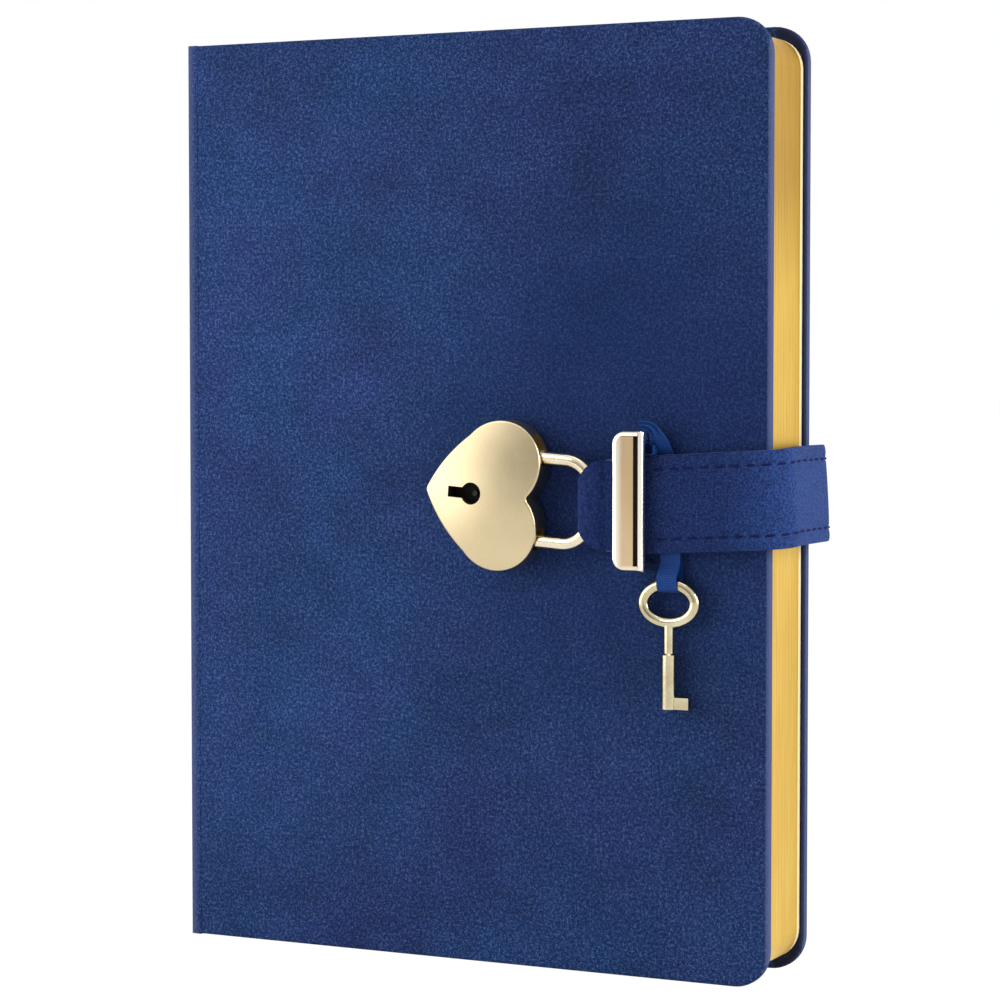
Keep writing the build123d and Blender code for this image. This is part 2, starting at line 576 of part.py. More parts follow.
def ribbon():
    """Doubled ribbon: fold round the key's bow, run behind the strap, and a turn round the keeper's upper leg."""
    t, r = RIBBON_T, BOW_WIRE / 2 + RIBBON_CLEAR
    back = RIBBON_LIFT
    top = CLOSURE_Z + STRAP_W / 2 + 1.2
    run_top = RING_TOP_Z + r + t + 1.6
    eye = Pos(-KEY_LIFT, RING_TOP_Z) * Circle(r + t)
    eye += polygon((-KEY_LIFT - r - t, RING_TOP_Z), (-back - 2 * t, run_top), (-back, run_top), (-back, RING_TOP_Z + r),
                   (-KEY_LIFT + r + t, RING_TOP_Z))
    eye -= Pos(-KEY_LIFT, RING_TOP_Z) * Circle(r)
    eye -= polygon((-KEY_LIFT - r, RING_TOP_Z), (-back - t, run_top - 0.6), (-KEY_LIFT + r, RING_TOP_Z))
    eye += Pos(-back - t, (run_top - 0.1 + top) / 2) * Rectangle(2 * t, top - run_top + 0.1)
    body = across(eye, KEY_U - RIBBON_W / 2, KEY_U + RIBBON_W / 2)
    leg_in, leg_out = KEEPER_Z + KEEPER_L / 2 - KEEPER_LEG_T, KEEPER_Z + KEEPER_L / 2
    gap = 0.15
    u0, u1, z0, z1 = KEEPER_U - gap, KEEPER_RIGHT + gap, leg_in - gap, leg_out + gap
    turn = polygon((u0 - t, z0 - t), (u1 + 1.2, z0 - t), (u1 + 1.2, z1 + t), (u0 - t, z1 + t))
    turn -= polygon((u0, z0), (u1 + 1.2 - t, z0), (u1 + 1.2 - t, z1), (u0, z1))
    body += lifted(turn, RIBBON_LIFT, KEEPER_UNDER - 1.0)
    start = u1 + 1.2 - t
    slip = polygon((start, z0 - t), (start, z1), (KEY_U + RIBBON_W / 2, top), (KEY_U + RIBBON_W / 2, top - 1.0),
                   (KEY_U - RIBBON_W / 2, top - 1.0))
    return body + lifted(slip, back, back + 2 * t)


def build():
    """All pieces by name, in the modelling frame."""
    leather, board = cover()
    cuts = closure_cuts()
    spine_leather, spine_board = spine()
    face, face_tail = strap_layer(STRAP_LINING_T, STRAP_T)
    lining, lining_tail = strap_layer(0, STRAP_LINING_T)
    front_shell, back_shell, pin, rivets, post = lock_shells()
    bolt, spring = bolt_and_spring()
    head = COVER_H - SQUARE_HEAD
    pieces = {
        "front_cover_leather": leather - cuts,
        "front_board": board - cuts,
        "back_cover_leather": to_back(leather),
        "back_board": to_back(board),
        "spine_leather": spine_leather,
        "spine_board": spine_board,
        "spine_lining": slab(BLOCK_U - LINING_T, BLOCK_U, BLOCK_Y, BOOK_T - BLOCK_Y, SQUARE_HEAD + LINING_MARGIN,
                             head - LINING_MARGIN),
        "head_band": band(head, 1),
        "tail_band": band(SQUARE_HEAD, -1),
        "front_pastedown": pastedown(),
        "back_pastedown": to_back(pastedown()),
        "front_flyleaf": leaf(FLYLEAF_Y, FLYLEAF_Y + ENDPAPER_T),
        "back_flyleaf": to_back(leaf(FLYLEAF_Y, FLYLEAF_Y + ENDPAPER_T)),
        "strap_face": strapped(face),
        "strap_lining": strapped(lining),
        "strap_tail_face": strapped(face_tail),
        "strap_tail_lining": strapped(lining_tail),
        "keeper": keeper(),
        "keeper_washers": washers(),
        "lock_loop": loop(),
        "shackle": tilted(shackle()),
        "lock_front_shell": tilted(front_shell),
        "lock_back_shell": tilted(back_shell),
        "shackle_pin": tilted(pin),
        "case_rivets": tilted(rivets),
        "key_post": tilted(post),
        "lock_bolt": tilted(bolt),
        "bolt_spring": tilted(spring),
        "key": key(),
        "key_ribbon": ribbon(),
    }
    for n in range(SECTIONS):
        pieces[f"section_{n + 1:02d}"] = section(n)
    return pieces


if __name__ == "__main__":
    os.makedirs("parts", exist_ok=True)
    for name, piece in build().items():
        export_step(piece.moved(Location((-ORIGIN_U, -ORIGIN_Y, 0))), f"parts/{name}.step")
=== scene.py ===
"""Lock diary: mottled blue suede over boards, gilt leaves, a stitched strap and a heart padlock.

Every piece is in metres in the frame of the solid model: X from the spine to the fore-edge, -Y out
of the front cover, Z up from the tail. Sizes are written in millimetres as u (from the spine's
outer face), lift (above the front cover) and z (above the tail), and at() places them.
"""
from __future__ import annotations

import json
import logging
import math
from dataclasses import dataclass
from enum import Enum
from typing import Any, Callable, Sequence

import bmesh
import bpy
from bmesh.types import BMEdge, BMesh, BMVert
from bpy.types import Material, Mesh, NodeSocket, NodeTree, Object, Scene
from mathutils import Matrix, Vector

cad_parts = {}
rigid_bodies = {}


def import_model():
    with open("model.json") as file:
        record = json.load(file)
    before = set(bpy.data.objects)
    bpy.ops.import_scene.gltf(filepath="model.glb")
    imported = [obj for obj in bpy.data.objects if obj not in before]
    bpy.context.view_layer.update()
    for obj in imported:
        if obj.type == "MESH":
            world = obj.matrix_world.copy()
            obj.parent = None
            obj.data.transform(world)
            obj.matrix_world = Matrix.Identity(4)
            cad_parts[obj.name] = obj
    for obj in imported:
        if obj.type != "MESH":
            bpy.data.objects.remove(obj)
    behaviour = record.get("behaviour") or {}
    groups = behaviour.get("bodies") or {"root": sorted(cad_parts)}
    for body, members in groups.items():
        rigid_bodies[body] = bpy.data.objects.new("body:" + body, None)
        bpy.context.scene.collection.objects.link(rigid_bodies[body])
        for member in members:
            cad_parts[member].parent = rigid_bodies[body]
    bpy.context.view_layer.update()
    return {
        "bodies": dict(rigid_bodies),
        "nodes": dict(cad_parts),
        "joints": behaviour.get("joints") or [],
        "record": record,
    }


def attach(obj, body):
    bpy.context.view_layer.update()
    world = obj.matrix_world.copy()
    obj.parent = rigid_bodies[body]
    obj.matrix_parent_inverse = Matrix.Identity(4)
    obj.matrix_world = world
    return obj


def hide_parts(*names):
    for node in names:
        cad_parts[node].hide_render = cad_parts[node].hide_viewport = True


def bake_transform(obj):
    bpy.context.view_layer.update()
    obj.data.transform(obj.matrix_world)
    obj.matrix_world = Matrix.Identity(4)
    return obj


LOG = logging.getLogger("lock_diary")
MM = 0.001
ORIGIN_U = 76.4548
ORIGIN_Y = 9.6
SAME = 4e-4 * MM
SHARP = math.radians(50)
Span = tuple[float, float]
Triple = tuple[float, float, float]
Colour = Triple
Stops = tuple[tuple[float, Colour], ...]


class Side(Enum):
    """Which end of a run along Z is meant."""

    HEAD = 1
    TAIL = -1


class Run(Enum):
    """Which run of the strap is meant: front and fore-edge, or the bend to the back and the tail."""

    FRONT = "strap"
    TAIL = "strap_tail"


def at(u: float, lift: float, z: float) -> Vector:
    """Point in metres of a place from the spine, above the front cover and above the tail."""
    return Vector(((u - ORIGIN_U) * MM, (-lift - ORIGIN_Y) * MM, z * MM))


def srgb(*levels: int) -> Colour:
    """Linear colour of 8-bit display levels of red, green and blue."""
    shares = [level / 255 for level in levels]
    return tuple(c / 12.92 if c <= 0.04045 else ((c + 0.055) / 1.055) ** 2.4 for c in shares)


class Shade:
    """One output socket of a material's nodes, with Python arithmetic on it."""

    def __init__(self, sheet: NodeSheet, socket: NodeSocket) -> None:
        """Wrap a socket of a node sheet."""
        self.sheet = sheet
        self.socket = socket

    def _math(self, operation: str, *values: Shade | float) -> Shade:
        """Result of a Math node on values in order."""
        return self.sheet.node("ShaderNodeMath", {"operation": operation}, dict(enumerate(values)))

    def __add__(self, other: Shade | float) -> Shade:
        """Sum."""
        return self._math("ADD", self, other)

    __radd__ = __add__

    def __sub__(self, other: Shade | float) -> Shade:
        """Difference."""
        return self._math("SUBTRACT", self, other)

    def __rsub__(self, other: float) -> Shade:
        """Difference from a number."""
        return self._math("SUBTRACT", other, self)

    def __mul__(self, other: Shade | float) -> Shade:
        """Product."""
        return self._math("MULTIPLY", self, other)

    __rmul__ = __mul__

    def __pow__(self, power: float) -> Shade:
        """Power."""
        return self._math("POWER", self, power)

    def __abs__(self) -> Shade:
        """Absolute value."""
        return self._math("ABSOLUTE", self)

    def sine(self) -> Shade:
        """Sine."""
        return self._math("SINE", self)

    def either(self, other: Shade | float) -> Shade:
        """The larger of two values."""
        return self._math("MAXIMUM", self, other)

    def step(self, low: float, high: float) -> Shade:
        """Smooth rise from 0 to 1 between two values."""
        return self.sheet.node("ShaderNodeMapRange", {"interpolation_type": "SMOOTHSTEP"},
                               {0: self, 1: low, 2: high, 3: 0.0, 4: 1.0})

    def fall(self, low: float, high: float) -> Shade:
        """Smooth fall from 1 to 0 between two values."""
        return 1.0 - self.step(low, high)

    def within(self, rise: Span, fall: Span) -> Shade:
        """Smooth rise between two values and fall between two others."""
        return self.step(*rise) * self.fall(*fall)


class NodeSheet:
    """Nodes of a material or of the surroundings."""

    def __init__(self, tree: NodeTree) -> None:
        """Start an empty sheet."""
        self.nodes, self.links = tree.nodes, tree.links
        self.nodes.clear()

    def node(self, kind: str, settings: dict[str, Any] | None = None,
             sockets: dict[Any, Any] | None = None, out: int | str = 0) -> Shade:
        """Add any node.

        Args:
            kind: Blender's name of the node type.
            settings: Attributes that are set first.
            sockets: Numbers, colours or shades for the inputs, by index or name.
            out: Index or name of the output that is handed on.

        Returns:
            The chosen output.
        """
        made = self.nodes.new(kind)
        for name, value in (settings or {}).items():
            setattr(made, name, value)
        for key, value in (sockets or {}).items():
            self.feed(made.inputs[key], value)
        return Shade(self, made.outputs[out])

    def feed(self, socket: NodeSocket, value: Any) -> None:
        """Link a shade to a socket, or set its number or colour."""
        if isinstance(value, Shade):
            self.links.new(value.socket, socket)
        elif isinstance(value, tuple) and len(value) == 3 and socket.type == "RGBA":
            socket.default_value = (*value, 1.0)
        else:
            socket.default_value = value

    def output(self, kind: str, surface: Shade) -> None:
        """Hand a shader on to the sheet's output."""
        self.links.new(surface.socket, self.nodes.new(kind).inputs[0])


class MaterialSheet(NodeSheet):
    """Nodes of one material, round a single shader."""

    def __init__(self, name: str) -> None:
        """Start a material with a shader and its output."""
        self.material = bpy.data.materials.new(name)
        self.material.use_nodes = True
        super().__init__(self.material.node_tree)
        self.shader = self.nodes.new("ShaderNodeBsdfPrincipled")
        self.output("ShaderNodeOutputMaterial", Shade(self, self.shader.outputs[0]))

    def place(self) -> Shade:
        """Object coordinates, in metres."""
        return self.node("ShaderNodeTexCoord", out="Object")

    def stretched(self, scale: Colour) -> Shade:
        """Object coordinates scaled along X, Y and Z."""
        return self.node("ShaderNodeMapping", None, {"Vector": self.place(), "Scale": scale})

    def axes(self) -> tuple[Shade, Shade, Shade]:
        """Object coordinates as three values, in millimetres."""
        split = self.nodes.new("ShaderNodeSeparateXYZ")
        self.links.new(self.place().socket, split.inputs[0])
        return tuple(Shade(self, split.outputs[n]) * 1000.0 for n in range(3))

    def noise(self, per_metre: float, detail: float = 3.0, rough: float = 0.55,
              vector: Shade | None = None) -> Shade:
        """Noise around one half: cells to a metre, octaves, weight of the finer ones, coordinates."""
        return self.node("ShaderNodeTexNoise", None, {
            "Vector": vector or self.place(), "Scale": per_metre, "Detail": detail, "Roughness": rough})

    def ramp(self, value: Shade, *stops: tuple[float, Colour]) -> Shade:
        """Colours along a value."""
        made = self.node("ShaderNodeValToRGB", None, {0: value})
        elements = made.socket.node.color_ramp.elements
        while len(elements) < len(stops):
            elements.new(0.5)
        for element, (place, colour) in zip(elements, stops):
            element.position = place
            element.color = (*colour, 1.0)
        return made

    def mix(self, mask: Shade, low: Shade | Colour, high: Shade | Colour) -> Shade:
        """Mix of two colours by a mask."""
        return self.node("ShaderNodeMix", {"data_type": "RGBA"}, {0: mask, 6: low, 7: high}, 2)

    def times(self, colour: Shade, veil: Shade) -> Shade:
        """Product of two colours."""
        return self.node("ShaderNodeMix", {"data_type": "RGBA", "blend_type": "MULTIPLY"},
                         {0: 1.0, 6: colour, 7: veil}, 2)

    def bump(self, height: Shade, depth_mm: float, under: Shade | None = None) -> Shade:
        """Bumped normal.

        Args:
            height: Height from 0 to 1.
            depth_mm: Height of 1, in millimetres.
            under: Normal that it is added to.

        Returns:
            The normal.
        """
        sockets = {"Height": height, "Distance": depth_mm * MM, "Strength": 1.0}
        if under is not None:
            sockets["Normal"] = under
        return self.node("ShaderNodeBump", None, sockets)

    def surface(self, **sockets: Any) -> Material:
        """Feed the shader by its sockets' names, with _ for spaces, and return the material."""
        for name, value in sockets.items():
            self.feed(self.shader.inputs[name.replace("_", " ")], value)
        return self.material


@dataclass(frozen=True)
class CoverShading:
    """Painted shade and painted highlight on the covers, placed in millimetres."""

    # Colour of the painted highlight on the rounded joint and fore-edge.
    edge_highlight: Colour
    # Colour of the painted shade on the covers' inner faces by the fore-edge.
    inner_shade: Colour
    width: float = 147.5
    # Painted shade: the covers grow darker towards the fore-edge, as light falls from the spine side.
    shade_across: tuple[Span, ...] = ((0.2, 1.0), (0.5, 0.9), (0.8, 0.82))
    # Painted shade: a broad dark patch round the closure, on the front cover only.
    shade_patch_at: Span = (115.0, 118.0)
    shade_patch_reach: Span = (62.0, 70.0)
    shade_patch_share: float = 0.56
    front_depth: Span = (2.0, 3.0)
    # Painted highlight where the rounded fore-edge and spine joint catch the light.
    fore_edge: Span = (146.75, 147.15)
    joint: tuple[Span, Span] = ((0.1, 0.7), (0.9, 2.6))
    highlight_share: Span = (0.45, 0.4)
    # Painted shade on the inner faces, in the gap between the covers and the leaves.
    inner_depth: tuple[Span, Span] = ((2.2, 2.7), (22.5, 23.0))
    inner_from: Span = (140.0, 141.0)
    inner_share: float = 0.8

    def over(self, s: MaterialSheet, colour: Shade, pit: Colour, grain: Shade) -> Shade:
        """Lay painted shade and painted highlight over new leather.

        Args:
            s: The material's nodes.
            colour: Colour of the new leather.
            pit: Colour of its pits, which is also the colour of the painted shade round the closure.
            grain: Its nap.

        Returns:
            The colour with painted shade and painted highlight.
        """
        x, y, z = s.axes()
        u, deep = x + ORIGIN_U, y + ORIGIN_Y
        # Painted shade, darker towards the fore-edge.
        veil = [(place, (share,) * 3) for place, share in self.shade_across]
        colour = s.times(colour, s.ramp(u * (1 / self.width), *veil))
        # Painted shade, darkest round the closure and on the front only.
        (centre_u, centre_z), (reach_u, reach_z) = self.shade_patch_at, self.shade_patch_reach
        aside, up = (u - centre_u) * (1 / reach_u), (z - centre_z) * (1 / reach_z)
        shade_patch = (aside * aside + up * up).fall(0.0, 1.0) * deep.fall(*self.front_depth)
        colour = s.mix(shade_patch * self.shade_patch_share, colour, pit)
        # Painted highlight on the rounded fore-edge and spine joint, broken by the nap.
        edges = u.step(*self.fore_edge).either(u.within(*self.joint))
        least, more = self.highlight_share
        colour = s.mix(edges * (least + grain * more), colour, self.edge_highlight)
        # Painted shade on the covers' inner faces near the fore-edge.
        inner = deep.within(*self.inner_depth) * u.step(*self.inner_from)
        return s.mix(inner * self.inner_share, colour, self.inner_shade)


@dataclass(frozen=True)
class Suede:
    """Brushed suede leather with faint clouds and a short nap of pale and dark fibres."""

    name: str
    pit: Colour
    middle: Colour
    fleck: Colour
    cloud: float = 0.2
    sheen: float = 0.03
    fine: float = 1.0
    # Painted shade and painted highlight laid over the leather, if any.
    marking: CoverShading | None = None
    # Painted highlight on the strap's end round the fore-edge, and where it starts.
    end_highlight: Colour | None = None
    end_highlight_from: Span = (136.0, 150.0)
    cut_edge: Colour | None = None
    edge_z: float = 105.1
    edge_from: float = 9.9
    edge_soft: float = 0.18
    nap_mm: float = 0.12
    swell_mm: float = 0.2
    dye: Stops = (
        (0.36, (1.0, 0.87, 0.95)), (0.5, (0.96, 0.96, 0.96)), (0.64, (0.84, 1.0, 0.98)))

    def make(self) -> Material:
        """Build the material."""
        s = MaterialSheet(self.name)
        clouds = s.noise(24, 4, 0.55) * 0.6 + s.noise(85, 5, 0.6, s.stretched((1.0, 1.0, 1.35))) * 0.4
        fibres = s.noise(1450 * self.fine, 3, 0.62)
        speckle = s.noise(2700 * self.fine, 1.5, 0.5)
        grain = fibres * 0.55 + speckle * 0.45
        nap = s.ramp(grain, (0.36, self.pit), (0.5, self.middle), (0.66, self.fleck))
        veil = s.ramp(clouds, (0.36, (1.0 - self.cloud,) * 3), (0.62, (1.0, 1.0, 1.0)))
        colour = s.times(s.times(nap, veil), s.ramp(s.noise(38, 3, 0.5), *self.dye))
        x, _, z = s.axes()
        # Painted highlight on the strap's end, broken by the nap.
        if self.end_highlight is not None:
            end = (x + ORIGIN_U).step(*self.end_highlight_from) * (grain * 2.4 - 0.9).either(0.0)
            colour = s.mix(end, colour, self.end_highlight)
        # Lay the painted shade and painted highlight over the covers.
        if self.marking is not None:
            colour = self.marking.over(s, colour, self.pit, grain)
        if self.cut_edge is not None:
            cut = (abs(z - self.edge_z) - self.edge_from).step(0.0, self.edge_soft)
            colour = s.mix(cut, colour, self.cut_edge)
        normal = s.bump(clouds, self.swell_mm, s.bump(grain, self.nap_mm))
        return s.surface(Base_Color=colour, Roughness=0.82 + (speckle - 0.5) * 0.2, Normal=normal,
                         Sheen_Weight=self.sheen, Sheen_Roughness=0.4,
                         Sheen_Tint=(0.75, 0.72, 1.0, 1.0), Specular_IOR_Level=0.12)


@dataclass(frozen=True)
class Plate:
    """Satin plated metal with faint rubbing marks."""

    name: str
    low: Colour
    high: Colour
    roughness: float = 0.24
    marking: float = 0.06

    def _tone(self, s: MaterialSheet, film: Shade, marks: Shade, share: float = 0.8) -> Shade:
        """Plate's colour from its film and its marks, by the film's share."""
        return s.ramp(film * share + marks * (1 - share), (0.36, self.low), (0.64, self.high))

    def _satin(self, marks: Shade) -> Shade:
        """Roughness with the rubbing marks in it."""
        return self.roughness + (marks - 0.5) * self.marking

    def make(self) -> Material:
        """Build the material."""
        s = MaterialSheet(self.name)
        film, marks = s.noise(140, 3, 0.5), s.noise(1800, 2, 0.5)
        return s.surface(Base_Color=self._tone(s, film, marks), Metallic=1.0,
                         Roughness=self._satin(marks) + (film - 0.5) * 0.08, Normal=s.bump(marks, 0.006))


@dataclass(frozen=True)
class LockPlate(Plate):
    """Satin plate of the padlock, with painted shade in the keyhole and the room behind it."""

    hole_u: float = 79.229
    hole_z: float = 107.196
    hole_r: float = 2.45
    slot_reach: float = 5.8
    slot_half: float = 1.2
    room_r: float = 6.5
    room_lift: Span = (2.85, 3.96)
    tilt: float = math.radians(4.3)
    soft: Span = (0.01, 0.05)
    # Colour of the painted shade in the keyhole.
    hole_shade_colour: Colour = srgb(20, 17, 14)

    def _inside(self, distance: Shade, reach: float) -> Shade:
        """Mask that ends at a reach."""
        near, far = self.soft
        return distance.fall(reach + near, reach + far)

    def make(self) -> Material:
        """Build the material."""
        s = MaterialSheet(self.name)
        film, marks = s.noise(60, 2, 0.5), s.noise(1600, 2, 0.5)
        x, y, z = s.axes()
        across, up = x - (self.hole_u - ORIGIN_U), z - self.hole_z
        along = across * math.cos(self.tilt) - up * math.sin(self.tilt)
        aside = across * math.sin(self.tilt) + up * math.cos(self.tilt)
        away = (along * along + aside * aside) ** 0.5
        half = self.slot_reach / 2
        slot = self._inside(abs(aside), self.slot_half) * self._inside(abs(along + half), half)
        low, high = self.room_lift
        lift = 0.0 - y - ORIGIN_Y
        room = lift.within((low - 0.05, low), (high, high + 0.03))
        room = room * away.fall(self.room_r, self.room_r + 0.1)
        # Painted shade: dark, less metallic and rougher in the keyhole, its slot and the room behind it.
        hole_shade = self._inside(away, self.hole_r).either(slot).either(room)
        return s.surface(Base_Color=s.mix(hole_shade, self._tone(s, film, marks), self.hole_shade_colour),
                         Metallic=1.0 - hole_shade * 0.9,
                         Roughness=self._satin(marks) + (film - 0.5) * 0.06 + hole_shade * 0.4)


@dataclass(frozen=True)
class KeeperPlate(Plate):
    """Polished plate of the keeper, with a painted highlight on its left edge, rail and ends, and
    painted shade in its groove.
    """

    groove_u: float = 118.75
    groove_half: float = 0.46
    middle_z: float = 106.2
    groove_reach: float = 14.2
    # Painted highlight on the crown's left edge, the rail and the ends.
    highlight_left: Span = (113.9, 115.9)
    highlight_rail: Span = (119.1, 119.3)
    highlight_ends: Span = (13.9, 14.8)
    highlight_colour: Colour = srgb(252, 247, 236)
    # Colour of the painted shade in the groove.
    groove_shade_colour: Colour = srgb(44, 30, 20)

    def make(self) -> Material:
        """Build the material."""
        s = MaterialSheet(self.name)
        film, marks = s.noise(50, 2, 0.5), s.noise(1800, 2, 0.5, s.stretched((1.0, 1.0, 0.05)))
        x, _, z = s.axes()
        u, off = x + ORIGIN_U, abs(z - self.middle_z)
        aside = abs(x - (self.groove_u - ORIGIN_U))
        # Painted shade in the deep groove: dark, less metallic and rougher.
        groove_shade = aside.fall(self.groove_half, self.groove_half + 0.04) * off.fall(
            self.groove_reach, self.groove_reach + 0.06)
        # Painted highlight on the left edge, the rail and the ends.
        ends = off.step(*self.highlight_ends) * 0.6
        highlight = u.fall(*self.highlight_left).either(u.step(*self.highlight_rail)).either(ends)
        plate = s.mix(highlight * 0.9, self._tone(s, film, marks, 0.85), self.highlight_colour)
        return s.surface(Base_Color=s.mix(groove_shade, plate, self.groove_shade_colour),
                         Metallic=1.0 - groove_shade * 0.85, Roughness=self._satin(marks) + groove_shade * 0.5)


@dataclass(frozen=True)
class GiltLeaves:
    """Cream leaves whose three trimmed edges are gilt, with painted shade on the fore-edge's gilt
    towards the head.
    """

    name: str = "gilt_leaves"
    corner_x: float = 139.6 - ORIGIN_U
    corner_z: float = 102.7 - 7.0
    middle_z: float = 105.5
    radius: float = 7.0
    foil_depth: float = 0.16
    gilt_depth: tuple[Span, Span] = ((4.1, 4.4), (20.3, 20.7))
    lines_per_mm: float = 21.0
    # Painted shade on the fore-edge's gilt towards the head, where the rim light falls off.
    head_shade_z: Span = (148.0, 182.0)
    head_shade_u: Span = (140.0, 146.0)
    head_shade: Colour = (0.67, 0.59, 0.3)
    foil: Stops = (
        (0.2, srgb(206, 160, 52)), (0.5, srgb(226, 184, 70)), (0.8, srgb(240, 206, 104)))

    def make(self) -> Material:
        """Build the material."""
        s = MaterialSheet(self.name)
        x, y, z = s.axes()
        out_x = (x - self.corner_x).either(0.0)
        out_z = (abs(z - self.middle_z) - self.corner_z).either(0.0)
        reach = (out_x * out_x + out_z * out_z) ** 0.5
        trimmed = reach.step(self.radius - self.foil_depth, self.radius - 0.05)
        gilt = trimmed * (y + ORIGIN_Y).within(*self.gilt_depth)
        leaf_lines = (y * self.lines_per_mm + s.noise(60, 2) * 1.5).sine() * 0.5 + 0.5
        streak = s.noise(700, 3, 0.6, s.stretched((0.06, 1.0, 0.06)))
        fibre = s.noise(900, 4, 0.6)
        cream = s.ramp(fibre, (0.3, srgb(226, 218, 196)), (0.7, srgb(243, 237, 220)))
        paper = s.mix(trimmed, cream, srgb(222, 204, 148))
        foil = s.ramp(streak * 0.55 + leaf_lines * 0.12 + s.noise(28, 2) * 0.33, *self.foil)
        # Painted shade: the fore-edge's foil darkens towards the head.
        head_shade = z.step(*self.head_shade_z) * (x + ORIGIN_U).step(*self.head_shade_u)
        foil = s.times(foil, s.ramp(head_shade, (0.0, (1.0, 1.0, 1.0)), (1.0, self.head_shade)))
        return s.surface(Base_Color=s.mix(gilt, paper, foil), Metallic=gilt * 0.88,
                         Roughness=0.85 - gilt * 0.46,
                         Normal=s.bump(leaf_lines * gilt + fibre * 0.12, 0.02))


@dataclass(frozen=True)
class Fibre:
    """Paper or board with a soft fibre look."""

    name: str
    low: Colour
    high: Colour
    per_metre: float = 1200
    depth_mm: float = 0.02

    def make(self) -> Material:
        """Build the material."""
        s = MaterialSheet(self.name)
        fibre = s.noise(self.per_metre, 5, 0.65)
        cloud = s.noise(45, 3, 0.5)
        colour = s.ramp(fibre * 0.6 + cloud * 0.4, (0.34, self.low), (0.66, self.high))
        return s.surface(Base_Color=colour, Roughness=0.9 - fibre * 0.1,
                         Normal=s.bump(fibre, self.depth_mm))


@dataclass(frozen=True)
class Woven:
    """Woven cloth: threads across and along, with an optional second thread colour."""

    name: str
    main: Colour
    second: Colour
    threads: Triple = (9.0, 9.0, 9.0)
    stripe: float = 0.0
    roughness: float = 0.6
    sheen: float = 0.3
    gloss: float = 0.3

    def make(self) -> Material:
        """Build the material."""
        s = MaterialSheet(self.name)
        x, y, z = s.axes()
        per_x, per_y, per_z = (count * math.tau for count in self.threads)
        warp = (x * per_x + y * per_y).sine() * 0.5 + 0.5
        weft = (z * per_z).sine() * 0.5 + 0.5
        weave = warp * 0.45 + weft * 0.55
        slub = s.noise(500, 3, 0.6)
        mask = weave * 0.6 + slub * 0.4
        if self.stripe:
            mask = (y * (self.stripe * math.tau)).sine().step(-0.2, 0.2)
        colour = s.mix(mask, self.second, self.main)
        return s.surface(Base_Color=colour, Roughness=self.roughness + (slub - 0.5) * 0.2,
                         Normal=s.bump(weave, 0.04), Sheen_Weight=self.sheen,
                         Specular_IOR_Level=self.gloss)


class Finishes:
    """All finishes of the diary, made once."""

    def __init__(self) -> None:
        """Make every material."""
        # The covers carry painted shade and painted highlight: the highlight's colour, then the inner
        # shade's.
        self.cover = Suede("cover_suede", srgb(14, 32, 77), srgb(33, 58, 111), srgb(83, 109, 160), 0.38,
                           marking=CoverShading(srgb(80, 90, 128), srgb(30, 27, 42))).make()
        # The strap's end towards the fore-edge carries a painted highlight.
        self.strap = Suede("strap_suede", srgb(14, 27, 68), srgb(22, 40, 88), srgb(51, 71, 127),
                           sheen=0.1, fine=1.35, end_highlight=srgb(52, 86, 154)).make()
        self.strap_lining = Suede("strap_lining_suede", srgb(28, 34, 74), srgb(44, 50, 98),
                                  srgb(84, 88, 136)).make()
        self.cut_edge = Suede("cut_edge_suede", srgb(76, 72, 114), srgb(112, 108, 150),
                              srgb(142, 136, 174)).make()
        self.loop = Suede("loop_suede", srgb(16, 31, 72), srgb(23, 42, 90), srgb(42, 67, 120),
                          cut_edge=srgb(84, 108, 158)).make()
        self.lock = LockPlate("champagne_satin", srgb(203, 185, 147), srgb(216, 198, 160), 0.3).make()
        self.wire = Plate("champagne_bright", srgb(222, 208, 176), srgb(238, 226, 198), 0.2).make()
        self.keeper = KeeperPlate("keeper_plate", srgb(204, 176, 136), srgb(216, 190, 152), 0.17).make()
        self.key = Plate("key_plate", srgb(188, 176, 140), srgb(218, 208, 176), 0.17).make()
        # Steel painted dark as shade, for the key post that shows in the keyhole.
        self.shaded_steel = Plate("steel_painted_shade", srgb(40, 38, 36), srgb(58, 55, 52), 0.5).make()
        self.steel = Plate("plain_steel", srgb(150, 150, 152), srgb(184, 184, 188), 0.35).make()
        self.leaves = GiltLeaves().make()
        self.end_paper = Fibre("end_paper", srgb(206, 202, 190), srgb(226, 223, 212)).make()
        self.board = Fibre("grey_board", srgb(120, 112, 100), srgb(160, 150, 136), 700, 0.06).make()
        self.band = Woven("band_cloth", srgb(232, 222, 190), srgb(38, 60, 124),
                          (0.0, 2.0, 3.0), 0.55).make()
        self.mull = Woven("lining_cloth", srgb(214, 208, 192), srgb(176, 170, 152),
                          (0.0, 0.9, 0.9)).make()
        self.ribbon = Woven("satin_ribbon", srgb(28, 76, 150), srgb(8, 26, 70), (1.6, 1.6, 1.9),
                            roughness=0.55, sheen=0.0, gloss=0.14).make()
        self.thread = Woven("stitch_thread", srgb(22, 28, 84), srgb(10, 14, 52), (6.0, 6.0, 2.0),
                            roughness=0.7, sheen=0.0, gloss=0.1).make()


@dataclass(frozen=True)
class Bend:
    """Bend of a sheet, in degrees and millimetres, and the straight run after it, each with its rows."""

    degrees: float
    radius: float
    steps: int
    run: float
    rows: int


